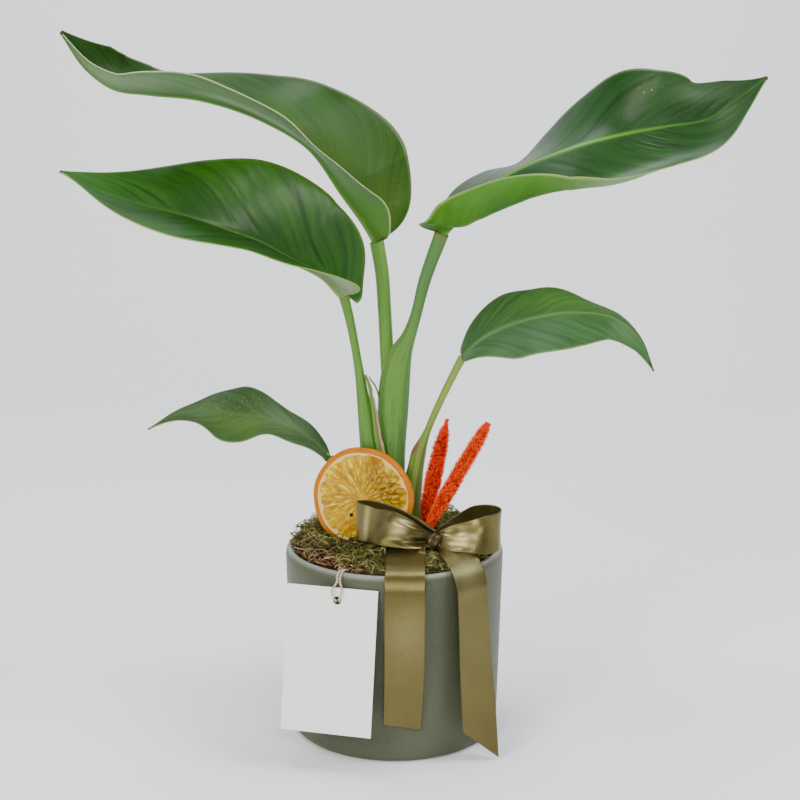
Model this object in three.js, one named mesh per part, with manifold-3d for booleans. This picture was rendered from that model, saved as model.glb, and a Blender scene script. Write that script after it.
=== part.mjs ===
// A potted bird of paradise: a ceramic pot of soil, a mossy top dressing, five leaves
// on clasping stalks, a dried orange slice, two dyed flower spikes, a satin bow and a
// bare gift tag on a loop of twine. Millimetres, +Z up, origin at the middle of the
// pot's flat foot, and the front of the pot faces -Y.

import * as THREE from "three";
import * as BufferGeometryUtils from "three/addons/utils/BufferGeometryUtils.js";
import Module from "manifold-3d";

const wasm = await Module();
wasm.setup();

// Driving dimensions

const GAP = 0.3;

const POT_RADIUS = 70;
const POT_FOOT_RADIUS = 67;
const POT_HEIGHT = 122.5;
const POT_WALL = 4;
const POT_SHOULDER_HEIGHT = 6;
const POT_SHOULDER_WIDTH = 3;
const POT_FOOT_ROUND = 5;
const POT_FLOOR = 8;
const POT_SIDES = 44;

const SOIL_TOP = 106;
const STALK_FOOT = 96;

const MOSS_RADIUS = 65;
const MOSS_EDGE_TOP = 120;
const MOSS_MOUND = 17;
const MOSS_BACK_RISE = 5;
const MOSS_TUFTS = 22;

const BLADE_THICKNESS = 1;
const BLADE_CURL_POWER = 2.2;

const SLICE_RADIUS = 32.5;
const SLICE_THICKNESS = 5;
const SLICE_SEGMENTS = 10;

const RIBBON_THICKNESS = 0.8;

const TAG_WIDTH = 57;
const TAG_HEIGHT = 90;
const TAG_THICKNESS = 0.8;
const TAG_HOLE_RADIUS = 2.6;

const TWINE_DIAMETER = 1.3;

const COLOURS = {
  pot: 0x6f7763,
  soil: 0x3a2a1e,
  moss: 0x5d6131,
  blade: 0x1f5a2a,
  stalk: 0x5b8a4a,
  slice: 0xe8a02a,
  spikeDark: 0xb8281c,
  spikeLight: 0xe2492a,
  ribbon: 0x6f6a3a,
  tag: 0xf4f2ec,
  twine: 0xb9a283,
};

// Small helpers for numbers and vectors

const radians = THREE.MathUtils.degToRad;

function seededRandom(seed) {
  let state = seed;
  return () => {
    state = (state * 1664525 + 1013904223) % 4294967296;
    return state / 4294967296;
  };
}

// A smooth curve through rows of numbers at the given knots: between two knots it is a
// cubic, and its slope at a knot is that of the parabola through the three nearest rows.
function smoothThrough(knots, rows) {
  const last = rows.length - 1;
  const rates = rows.slice(1).map((row, i) =>
    row.map((value, k) => (value - rows[i][k]) / (knots[i + 1] - knots[i])));
  const slopes = rows.map((row, i) => {
    if (i === 0) return rates[0];
    if (i === last) return rates[last - 1];
    const before = knots[i] - knots[i - 1];
    const after = knots[i + 1] - knots[i];
    return row.map((_, k) => (after * rates[i - 1][k] + before * rates[i][k]) / (before + after));
  });
  return (t) => {
    let i = 0;
    while (i < last - 1 && t > knots[i + 1]) i += 1;
    const span = knots[i + 1] - knots[i];
    const u = (t - knots[i]) / span;
    const a = (1 + 2 * u) * (1 - u) * (1 - u);
    const b = u * (1 - u) * (1 - u) * span;
    const c = u * u * (3 - 2 * u);
    const d = u * u * (u - 1) * span;
    return rows[i].map((value, k) =>
      a * value + b * slopes[i][k] + c * rows[i + 1][k] + d * slopes[i + 1][k]);
  };
}

// The same curve with its knots at the share of the way along, from 0 to 1.
function pathThrough(rows) {
  const knots = [0];
  for (let i = 1; i < rows.length; i += 1) {
    const step = Math.hypot(...[0, 1, 2].map((k) => rows[i][k] - rows[i - 1][k]));
    knots.push(knots[i - 1] + step);
  }
  const shares = knots.map((knot) => knot / knots[knots.length - 1]);
  return Object.assign(smoothThrough(shares, rows), { shares });
}

function directionAlong(path, t) {
  const ahead = path(Math.min(1, t + 0.005));
  const behind = path(Math.max(0, t - 0.005));
  return new THREE.Vector3(...[0, 1, 2].map((k) => ahead[k] - behind[k])).normalize();
}

// Solids

function toSolid(geometry) {
  const bare = geometry.clone();
  bare.deleteAttribute("normal");
  bare.deleteAttribute("uv");
  const merged = BufferGeometryUtils.mergeVertices(bare, 1e-4);
  return new wasm.Manifold(new wasm.Mesh({
    numProp: 3,
    vertProperties: new Float32Array(merged.attributes.position.array),
    triVerts: new Uint32Array(merged.index.array),
  }));
}

function toGeometry(solid) {
  const mesh = solid.getMesh();
  const geometry = new THREE.BufferGeometry();
  geometry.setAttribute("position", new THREE.BufferAttribute(mesh.vertProperties, 3));
  geometry.setIndex(new THREE.BufferAttribute(mesh.triVerts, 1));
  return geometry;
}

// What a cut leaves loose, such as a crumb of moss, is dropped.
function largestPiece(solid) {
  const pieces = solid.decompose();
  return pieces.reduce((best, piece) => (piece.volume() > best.volume() ? piece : best));
}

function indexedGeometry(points, triangles) {
  const geometry = new THREE.BufferGeometry();
  const flat = points.flatMap((point) => [point.x, point.y, point.z]);
  geometry.setAttribute("position", new THREE.Float32BufferAttribute(flat, 3));
  geometry.setIndex(triangles.flat());
  return geometry;
}

// A closed ring of rows of points, each row a ring of the same number of points, with a
// flat fan at each end.
function ringStack(rings) {
  const sides = rings[0].length;
  const points = rings.flat();
  const triangles = [];
  for (let i = 0; i < rings.length - 1; i += 1) {
    for (let j = 0; j < sides; j += 1) {
      const a = i * sides + j;
      const b = i * sides + ((j + 1) % sides);
      triangles.push([a, b, b + sides], [a, b + sides, a + sides]);
    }
  }
  [rings[0], rings[rings.length - 1]].forEach((ring, end) => {
    const middle = new THREE.Vector3();
    ring.forEach((point) => middle.addScaledVector(point, 1 / sides));
    const centre = points.push(middle) - 1;
    const first = end === 0 ? 0 : (rings.length - 1) * sides;
    for (let j = 0; j < sides; j += 1) {
      const next = first + ((j + 1) % sides);
      triangles.push(end === 0 ? [first + j, centre, next] : [next, centre, first + j]);
    }
  });
  return indexedGeometry(points, triangles);
}

// A thin slab over a grid of middle points: each face is set off along the grid's own
// normals, and both faces are split into triangles alike.
function slabOver(grid, upper, lower) {
  const rows = grid.length;
  const columns = grid[0].length;
  const normals = grid.map((row, i) => row.map((_, j) => {
    const along = grid[Math.min(rows - 1, i + 1)][j].clone().sub(grid[Math.max(0, i - 1)][j]);
    const across = grid[i][Math.min(columns - 1, j + 1)].clone().sub(grid[i][Math.max(0, j - 1)]);
    return along.cross(across).normalize();
  }));
  const face = (offset, sign) => grid.map((row, i) => row.map((point, j) =>
    point.clone().addScaledVector(normals[i][j], sign * offset(i, j))));
  const points = [...face(upper, 1).flat(), ...face(lower, -1).flat()];
  const below = rows * columns;
  const at = (i, j) => i * columns + j;
  const triangles = [];
  for (let i = 0; i < rows - 1; i += 1) {
    for (let j = 0; j < columns - 1; j += 1) {
      const [a, b, c, d] = [at(i, j), at(i + 1, j), at(i + 1, j + 1), at(i, j + 1)];
      const pair = j < (columns - 1) / 2 ? [[a, b, c], [a, c, d]] : [[a, b, d], [b, c, d]];
      pair.forEach(([p, q, r]) => {
        triangles.push([p, q, r], [r + below, q + below, p + below]);
      });
    }
  }
  const edge = [];
  for (let j = 0; j < columns - 1; j += 1) edge.push([at(0, j), at(0, j + 1)]);
  for (let i = 0; i < rows - 1; i += 1) edge.push([at(i, columns - 1), at(i + 1, columns - 1)]);
  for (let j = columns - 1; j > 0; j -= 1) edge.push([at(rows - 1, j), at(rows - 1, j - 1)]);
  for (let i = rows - 1; i > 0; i -= 1) edge.push([at(i, 0), at(i - 1, 0)]);
  edge.forEach(([p, q]) => triangles.push([p, q, q + below], [p, q + below, p + below]));
  return indexedGeometry(points, triangles);
}

const plant = new THREE.Group();

function addPiece(name, geometry, colour, roughness) {
  const material = new THREE.MeshStandardMaterial({ color: colour, roughness, metalness: 0 });
  const mesh = new THREE.Mesh(geometry, material);
  mesh.name = name;
  plant.add(mesh);
  return mesh;
}

// The pot and its soil

function arcPoints(centreX, centreY, radiusX, radiusY, from, to, steps) {
  return Array.from({ length: steps + 1 }, (_, i) => {
    const angle = radians(from + ((to - from) * i) / steps);
    return new THREE.Vector2(centreX + radiusX * Math.cos(angle), centreY + radiusY * Math.sin(angle));
  });
}

function potInnerRadius(height) {
  const outer = POT_FOOT_RADIUS + ((POT_RADIUS - POT_FOOT_RADIUS) * height) / POT_HEIGHT;
  return outer - POT_WALL;
}

function potGeometry() {
  const shoulder = POT_HEIGHT - POT_SHOULDER_HEIGHT;
  const profile = [
    new THREE.Vector2(0, 0),
    ...arcPoints(POT_FOOT_RADIUS - POT_FOOT_ROUND, POT_FOOT_ROUND,
      POT_FOOT_ROUND, POT_FOOT_ROUND, -90, 0, 3),
    ...arcPoints(POT_RADIUS - POT_SHOULDER_WIDTH, shoulder,
      POT_SHOULDER_WIDTH, POT_SHOULDER_HEIGHT, 0, 84, 3),
    new THREE.Vector2(potInnerRadius(POT_HEIGHT), POT_HEIGHT - 0.4),
    new THREE.Vector2(potInnerRadius(POT_FLOOR), POT_FLOOR + 6),
    new THREE.Vector2(potInnerRadius(POT_FLOOR) - 5, POT_FLOOR),
    new THREE.Vector2(0, POT_FLOOR),
  ];
  return new THREE.LatheGeometry(profile, POT_SIDES).rotateX(Math.PI / 2);
}

function soilSolid() {
  const bottom = POT_FLOOR + GAP;
  const profile = [
    new THREE.Vector2(0, bottom),
    new THREE.Vector2(potInnerRadius(POT_FLOOR) - 5.4, bottom),
    new THREE.Vector2(potInnerRadius(POT_FLOOR) - 0.5, POT_FLOOR + 6.4),
    new THREE.Vector2(potInnerRadius(SOIL_TOP) - 0.5, SOIL_TOP - 1.5),
    new THREE.Vector2(potInnerRadius(SOIL_TOP) - 2, SOIL_TOP),
    new THREE.Vector2(0, SOIL_TOP),
  ];
  return toSolid(new THREE.LatheGeometry(profile, POT_SIDES).rotateX(Math.PI / 2));
}

// Leaf stalks: each row is a centre point, a half width and a half depth, from the foot
// in the soil up to where the blade starts. Below its petiole each stalk widens into a
// sheath that clasps the stalks inside it.

const STALKS = {
  upper_left: [
    [0, 1, STALK_FOOT, 4.2, 4.2],
    [0, 1, 130, 4, 4],
    [-1, 3, 190, 3.9, 3.9],
    [-4.2, 8, 235, 3.9, 3.9],
    [-6, 11, 270, 3.8, 3.8],
    [-8, 13, 298, 4, 3.8],
    [-11, 14, 316, 4.3, 3.8],
  ],
  upper_right: [
    [0.5, 0, STALK_FOOT, 8.6, 8],
    [0, 0, 130, 8.2, 8],
    [-0.8, 0.2, 180, 7.8, 7.6],
    [0, 0.6, 215, 9, 7.4],
    [1, 1.2, 233, 9.3, 6.6],
    [4.2, 0.2, 247, 7.2, 5.2],
    [9, -2, 258, 4.6, 4.2],
    [12.4, -3.4, 268, 3.7, 3.7],
    [19, -5, 294, 3.9, 3.7],
    [29.5, -8, 324, 4.6, 3.8],
  ],
  left: [
    [-6, -1, STALK_FOOT, 11, 10.4],
    [-8, -1.4, 130, 10, 9.6],
    [-12.4, -3, 170, 7.8, 7.4],
    [-15.4, -4.4, 188, 6.4, 6],
    [-18.6, -6.4, 212, 4.6, 4.4],
    [-21.6, -8, 235, 3, 3],
    [-28, -12, 273, 2.9, 2.9],
    [-31, -14, 286, 3.3, 3],
  ],
  right: [
    [6, -1, STALK_FOOT, 10.6, 10],
    [8, -1.6, 130, 9.2, 8.8],
    [11.8, -3.4, 162, 6.2, 6],
    [15.6, -5, 178, 4.8, 4.8],
    [22.6, -10, 203, 3.2, 3.4],
    [32, -14, 226, 2.4, 2.6],
    [42.2, -19, 248.3, 2.7, 2.6],
  ],
  lower_left: [
    [-16, -5, STALK_FOOT, 5.6, 5],
    [-18, -4, 128, 4.4, 4.2],
    [-24.4, -3, 147.7, 3, 3],
    [-32.6, -2.4, 165.6, 2.4, 2.4],
    [-41.6, -2, 180, 2.6, 2.4],
  ],
};

const STALK_ORDER = ["upper_left", "upper_right", "left", "right", "lower_left"];
const STALK_SIDES = 10;
const STALK_STEPS = 14;

function stalkSolid(rows, growth) {
  const path = pathThrough(rows);
  const rings = [];
  for (let i = 0; i <= STALK_STEPS; i += 1) {
    const t = i / STALK_STEPS;
    const [x, y, z, halfWidth, halfDepth] = path(t);
    const along = directionAlong(path, t);
    const widthWay = new THREE.Vector3(1, 0, 0).addScaledVector(along, -along.x).normalize();
    const depthWay = along.clone().cross(widthWay);
    const centre = new THREE.Vector3(x, y, z);
    if (i === STALK_STEPS) centre.addScaledVector(along, growth - GAP);
    if (i === 0) centre.addScaledVector(along, -growth);
    rings.push(Array.from({ length: STALK_SIDES }, (_, j) => {
      const angle = (2 * Math.PI * j) / STALK_SIDES;
      return centre.clone()
        .addScaledVector(widthWay, (halfWidth + growth) * Math.cos(angle))
        .addScaledVector(depthWay, (halfDepth + growth) * Math.sin(angle));
    }));
  }
  return toSolid(ringStack(rings));
}

function stalkSolids() {
  const solids = {};
  STALK_ORDER.forEach((name, order) => {
    let solid = stalkSolid(STALKS[name], 0);
    STALK_ORDER.slice(0, order).forEach((inner) => {
      solid = solid.subtract(stalkSolid(STALKS[inner], GAP));
    });
    solids[name] = largestPiece(solid);
  });
  return solids;
}

// Leaf blades. The rib is a row of points from the stalk to the tip. Each row of the
// fold is: share of the way along, angle of the near half at the rib, its further turn
// by the margin, its width against the leaf's plain outline, and the same for the far
// half. An angle of 0 points level towards the front, 90 up, 180 level towards the back.

const BLADES = {
  upper_left: {
    rib: [
      [-11.2, 14.2, 316.4], [-19, 13, 329], [-30.5, 10, 345], [-53, 5, 376], [-79, 0, 392],
      [-118.5, -5, 405], [-148, -10, 408], [-168, -13, 411], [-182, -16, 421], [-197, -20, 444],
    ],
    nearWidth: 46,
    farWidth: 50,
    lobe: 0.2,
    wave: 1.2,
    fold: [
      [0, 30, 0, 1, 84, 10, 1.04],
      [0.12, 20, 0, 1, 88, 6, 1.16],
      [0.22, 8, 0, 1, 98, 12, 1.12],
      [0.32, 0, 0, 1, 112, 16, 0.9],
      [0.42, 8, 0, 1, 138, 16, 0.94],
      [0.55, 18, 0, 1, 154, 4, 0.96],
      [0.7, 26, 0, 1, 154, 0, 0.96],
      [0.85, 26, 0, 1, 128, 0, 1.16],
      [1, 10, 0, 1, 120, 0, 1],
    ],
  },
  left: {
    rib: [
      [-31.4, -14.2, 286.4], [-44, -15, 299], [-60.5, -16, 307.5], [-83, -18, 320],
      [-99, -20, 326], [-121, -22, 334], [-162, -26, 346], [-199, -30, 363],
    ],
    nearWidth: 44,
    farWidth: 47,
    lobe: 0.45,
    hang: 9,
    wave: 1,
    fold: [
      [0, 40, 10, 1, 100, 10, 0.5],
      [0.04, 30, 8, 1, 98, 10, 0.6],
      [0.1, 14, 0, 1, 94, 6, 0.88],
      [0.2, 6, 0, 1, 92, 12, 0.97],
      [0.3, -2, 0, 1, 92, 16, 1],
      [0.5, -8, 0, 1, 110, 24, 1],
      [0.7, -18, 0, 1, 130, 16, 1],
      [0.85, -18, 0, 1, 138, 6, 1],
      [1, -10, 0, 1, 140, 0, 1],
    ],
  },
  upper_right: {
    rib: [
      [29.8, -8, 324.5], [46, -10, 341], [66, -12, 358], [104, -14, 375], [142, -16, 385],
      [164, -18, 389], [186, -20, 393], [204, -22, 405], [221, -24, 418],
    ],
    nearWidth: 46,
    farWidth: 47,
    lobe: 0.6,
    crease: [0.35, 0.8],
    wave: 1.2,
    fold: [
      [0, 20, 80, 1, 166, 0, 1],
      [0.06, -45, 140, 1.2, 166, 0, 1.1],
      [0.12, -45, 156, 1.34, 163, 0, 1.1],
      [0.2, -50, 190, 1.22, 170, 0, 1.08],
      [0.28, -52, 200, 1.05, 179, 0, 0.9],
      [0.38, -50, 165, 1, 167, 0, 0.88],
      [0.5, -58, 130, 1, 142, 10, 0.95],
      [0.62, -62, 100, 1, 106, 20, 1.05],
      [0.78, -66, 40, 1, 92, 16, 1.08],
      [0.9, -62, 0, 1, 96, 10, 1.2],
      [1, -60, 0, 1, 120, 0, 1],
    ],
  },
  right: {
    rib: [
      [42.5, -19.1, 248.7], [52.6, -22, 259], [66, -24, 267], [89, -28, 275], [112, -30, 278],
      [135, -32, 274], [149, -34, 262], [158, -36, 243],
    ],
    nearWidth: 27,
    farWidth: 27,
    lobe: 0.3,
    wave: 1.2,
    fold: [
      [0, -20, 0, 0.8, 140, 0, 0.8],
      [0.12, -32, 0, 0.8, 140, 0, 0.86],
      [0.3, -46, 0, 1, 138, 0, 0.98],
      [0.45, -46, 0, 1, 142, 0, 0.86],
      [0.6, -44, 0, 1, 150, 0, 0.58],
      [0.8, -42, 0, 1, 154, 0, 0.26],
      [1, -40, 0, 1, 150, 0, 0.26],
    ],
  },
  lower_left: {
    rib: [
      [-41.8, -2.1, 180.2], [-47.6, -3, 187], [-56.7, -5, 195.5], [-69.9, -7, 202], [-83, -9, 207],
      [-99.3, -11, 210], [-116.5, -13, 213], [-135.7, -15, 211], [-153.9, -17, 202],
    ],
    nearWidth: 23,
    farWidth: 24,
    lobe: 0.2,
    wave: 1.4,
    fold: [
      [0, -30, 0, 0.5, 134, 0, 0.6],
      [0.2, -34, 0, 0.5, 134, 0, 0.58],
      [0.36, -36, 0, 0.55, 134, 0, 0.66],
      [0.52, -36, 0, 1, 136, 0, 0.94],
      [0.62, -36, 0, 1.15, 138, 0, 0.86],
      [0.76, -34, 0, 0.75, 142, 0, 0.42],
      [0.88, -30, 0, 0.6, 146, 0, 0.3],
      [1, -30, 0, 0.6, 146, 0, 0.3],
    ],
  },
};

const LARGE_BLADE_STEPS = 18;
const SMALL_BLADE_STEPS = 14;
const SMALL_BLADE_WIDTH = 30;
const BLADE_COLUMNS = [-1, -0.78, -0.54, -0.3, -0.08, 0, 0.08, 0.3, 0.54, 0.78, 1];
const BLADE_WIDEST = 0.4;
const BLADE_BASE_WIDTH = 0.09;
const BLADE_TIP_WIDTH = 0.02;
const BLADE_WAVES = 3;
const CREASE_REACH = 0.35;
const HANG_REACH = 0.15;
const RIB_DEPTH_AT_BASE = 2.6;
const RIB_DEPTH_AT_TIP = 0.3;

// Share of the full half width: a rounded base, then a long taper to the tip.
function bladeOutline(t) {
  if (t < BLADE_WIDEST) {
    const left = 1 - t / BLADE_WIDEST;
    return BLADE_BASE_WIDTH + (1 - BLADE_BASE_WIDTH) * Math.sqrt(1 - left ** 2.2);
  }
  const beyond = (t - BLADE_WIDEST) / (1 - BLADE_WIDEST);
  return BLADE_TIP_WIDTH + (1 - BLADE_TIP_WIDTH) * (1 - beyond ** 1.8) ** 1.15;
}

// The way a half blade points at one angle: 0 level to the front, 90 up.
function foldDirection(along, degrees) {
  const near = new THREE.Vector3(along.y, -along.x, 0).normalize();
  if (near.y > 0) near.negate();
  const upward = new THREE.Vector3(0, 0, 1).addScaledVector(along, -along.z).normalize();
  const angle = radians(degrees);
  return near.multiplyScalar(Math.cos(angle)).addScaledVector(upward, Math.sin(angle));
}

// How much of its turn a half blade has made at one share of the way from the rib to the
// margin. A creased half makes it about a line that lies further out as t rises.
function turnShare(blade, t, s, reach) {
  if (s > 0 || !blade.crease) return reach ** BLADE_CURL_POWER;
  const [atBase, beyond] = blade.crease;
  const middle = THREE.MathUtils.lerp(atBase, beyond, Math.min(1, t / BLADE_WIDEST));
  return THREE.MathUtils.smoothstep(reach, middle - CREASE_REACH, middle + CREASE_REACH);
}

function bladePoint(blade, rib, fold, t, s) {
  const slices = 10;
  const [, nearAngle, nearTurn, nearShare, farAngle, farTurn, farShare] = fold(t);
  const [angle, turn, full] = s < 0
    ? [nearAngle, nearTurn, blade.nearWidth * nearShare]
    : [farAngle, farTurn, blade.farWidth * farShare];
  const width = full * bladeOutline(t);
  const along = directionAlong(rib, t);
  const [x, y, z] = rib(t);
  const point = new THREE.Vector3(x, y, z);
  const reach = Math.abs(s);
  for (let i = 0; i < slices; i += 1) {
    const middle = (reach * (i + 0.5)) / slices;
    const way = foldDirection(along, angle + turn * turnShare(blade, t, s, middle));
    point.addScaledVector(way, (width * reach) / slices);
  }
  const margin = foldDirection(along, angle + turn * turnShare(blade, t, s, reach) + 90);
  const ripple = Math.sin(2 * Math.PI * BLADE_WAVES * t + (s < 0 ? 0.6 : 2.4));
  point.addScaledVector(margin, blade.wave * reach * reach * ripple * bladeOutline(t));
  const backSweep = blade.lobe * width * Math.max(0, 1 - t / BLADE_WIDEST) ** 2;
  const hang = s > 0 ? (blade.hang ?? 0) * Math.max(0, 1 - t / HANG_REACH) ** 2 : 0;
  return point.addScaledVector(along, -(backSweep + hang) * reach ** 2);
}

function bladeGeometry(blade) {
  const rib = pathThrough(blade.rib);
  const fold = smoothThrough(blade.fold.map((row) => row[0]), blade.fold);
  const steps = blade.farWidth < SMALL_BLADE_WIDTH ? SMALL_BLADE_STEPS : LARGE_BLADE_STEPS;
  const grid = [];
  const shares = [];
  for (let i = 0; i <= steps; i += 1) {
    const t = (1 - Math.cos((Math.PI * i) / steps)) / 2;
    shares.push(t);
    grid.push(BLADE_COLUMNS.map((s) => bladePoint(blade, rib, fold, t, s)));
  }
  const half = BLADE_THICKNESS / 2;
  const ribColumn = BLADE_COLUMNS.indexOf(0);
  const ribDepth = (i) => THREE.MathUtils.lerp(RIB_DEPTH_AT_BASE, RIB_DEPTH_AT_TIP, shares[i]);
  const under = (i, j) => half + (j === ribColumn ? ribDepth(i) : 0);
  const plain = () => half;
  const towardsLeft = blade.rib[0][0] > blade.rib[blade.rib.length - 1][0];
  return towardsLeft ? slabOver(grid, under, plain) : slabOver(grid, plain, under);
}

// The dried orange slice: a disc with a standing rind and raised walls between its
// segments, alike on both faces, slightly warped, and turned to face the front.

const SLICE_CENTRE = [-19.4, -16, 156.9];
const SLICE_TURN = -14;
const SLICE_LEAN = 4;
const SLICE_RINGS = [0.12, 0.4, 0.7, 0.8, 0.87, 0.94, 1];
const SLICE_SECTORS = 40;
const SLICE_SOCKET_SIDES = 28;
const SLICE_WARP = 1.1;

function sliceHalfThickness(share, angle) {
  const rind = SLICE_THICKNESS / 2;
  if (share > 0.99) return rind * 0.6;
  if (share > 0.85) return rind;
  if (share > 0.79) return rind * 0.8;
  const wall = Math.abs(Math.cos((SLICE_SEGMENTS * angle) / 2)) ** 8;
  return rind * (0.5 + 0.28 * wall);
}

function placeSlice(geometry) {
  geometry.rotateX(radians(90 - SLICE_LEAN));
  geometry.rotateZ(radians(SLICE_TURN));
  return geometry.translate(...SLICE_CENTRE);
}

function sliceSolid() {
  const faces = [1, -1].map((side) => SLICE_RINGS.map((share) =>
    Array.from({ length: SLICE_SECTORS }, (_, j) => {
      const angle = (2 * Math.PI * j) / SLICE_SECTORS;
      const radius = SLICE_RADIUS * share;
      const warp = SLICE_WARP * share * share * Math.sin(2 * angle + 0.7);
      const lift = side * sliceHalfThickness(share, angle) + warp;
      return new THREE.Vector3(radius * Math.cos(angle), radius * Math.sin(angle), lift);
    })));
  const rings = [...faces[0], ...faces[1].reverse()];
  return toSolid(placeSlice(ringStack(rings.map((ring) => ring.slice().reverse()))));
}

// The two flower spikes: a slim stalk, a tapering core, and pointed florets standing up
// and out of it in a spiral.

const SPIKES = {
  spike_red: {
    foot: [13.8, -12.5, 112],
    tip: [33.6, -12.5, 208.6],
    colour: "spikeDark",
  },
  spike_orange: {
    foot: [6.8, -23.5, 112],
    tip: [59.2, -23.5, 208.7],
    colour: "spikeLight",
  },
};
const SPIKE_FLORETS = 40;
const SPIKE_STALK_RADIUS = 1.3;
const SPIKE_CORE_RADIUS = 4.2;
const SPIKE_HEAD_START = 0.25;
const FLORET_LENGTH = 7.6;
const FLORET_RADIUS = 2.6;
const FLORET_LEAN = 35;
const GOLDEN_ANGLE = 137.508;

function spikeCoreRadius(share) {
  const rise = Math.min(1, share / 0.3);
  const fall = Math.min(1, (1 - share) / 0.45);
  return SPIKE_CORE_RADIUS * (0.45 + 0.55 * rise ** 0.8) * (0.2 + 0.8 * fall ** 0.8);
}

function spikeSolid(spike) {
  const foot = new THREE.Vector3(...spike.foot);
  const tip = new THREE.Vector3(...spike.tip);
  const length = foot.distanceTo(tip);
  const headStart = length * SPIKE_HEAD_START;
  const headLength = length - headStart - FLORET_LENGTH * 0.6;
  const profile = [new THREE.Vector2(0, 0), new THREE.Vector2(SPIKE_STALK_RADIUS, 0)];
  profile.push(new THREE.Vector2(SPIKE_STALK_RADIUS, headStart));
  for (let i = 0; i <= 8; i += 1) {
    const share = i / 8;
    profile.push(new THREE.Vector2(spikeCoreRadius(share), headStart + 2 + share * (headLength - 2)));
  }
  profile.push(new THREE.Vector2(0, headStart + headLength + 1));
  let solid = toSolid(new THREE.LatheGeometry(profile, 9));
  const florets = [];
  for (let i = 0; i < SPIKE_FLORETS; i += 1) {
    const share = (i + 0.5) / SPIKE_FLORETS;
    const turn = radians(GOLDEN_ANGLE * i);
    const size = 0.75 + 0.25 * Math.sin(Math.PI * share);
    const floret = new THREE.ConeGeometry(FLORET_RADIUS * size, FLORET_LENGTH * size, 3, 1);
    floret.translate(0, FLORET_LENGTH * size * 0.5 - 1.2, 0);
    floret.rotateZ(-radians(FLORET_LEAN * (1 - 0.6 * share)));
    floret.translate(spikeCoreRadius(share) * 0.78, 0, 0);
    floret.rotateY(turn);
    floret.translate(0, headStart + 2 + share * (headLength - 2), 0);
    florets.push(toSolid(floret));
  }
  solid = largestPiece(florets.reduce((whole, floret) => whole.add(floret), solid));
  const lean = new THREE.Quaternion().setFromUnitVectors(
    new THREE.Vector3(0, 1, 0), tip.clone().sub(foot).normalize());
  const geometry = toGeometry(solid);
  geometry.applyQuaternion(lean);
  geometry.translate(...spike.foot);
  return toSolid(geometry);
}

// Room for the slice in the moss: a plain disc, since the moss closes on the rind alone.
function sliceSocket() {
  const radius = (SLICE_RADIUS + GAP) / Math.cos(Math.PI / SLICE_SOCKET_SIDES);
  const socket = new THREE.CylinderGeometry(
    radius, radius, SLICE_THICKNESS + 2 * (SLICE_WARP + GAP), SLICE_SOCKET_SIDES);
  return toSolid(placeSlice(socket.rotateX(Math.PI / 2)));
}

function spikeSocket(spike) {
  const foot = new THREE.Vector3(...spike.foot);
  const tip = new THREE.Vector3(...spike.tip);
  const along = tip.clone().sub(foot).normalize();
  const start = foot.clone().addScaledVector(along, -GAP);
  const reach = foot.distanceTo(tip) * SPIKE_HEAD_START;
  const socket = new THREE.CylinderGeometry(6.4, SPIKE_STALK_RADIUS + GAP + 0.2, reach + GAP + 8, 9);
  socket.translate(0, (reach + GAP + 8) / 2, 0);
  socket.applyQuaternion(new THREE.Quaternion().setFromUnitVectors(new THREE.Vector3(0, 1, 0), along));
  socket.translate(start.x, start.y, start.z);
  return toSolid(socket);
}

// The satin bow: one ribbon in two loops, a knot and two tails. Each row is a centre
// point, the way across the ribbon, and half its gathered width.

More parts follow.
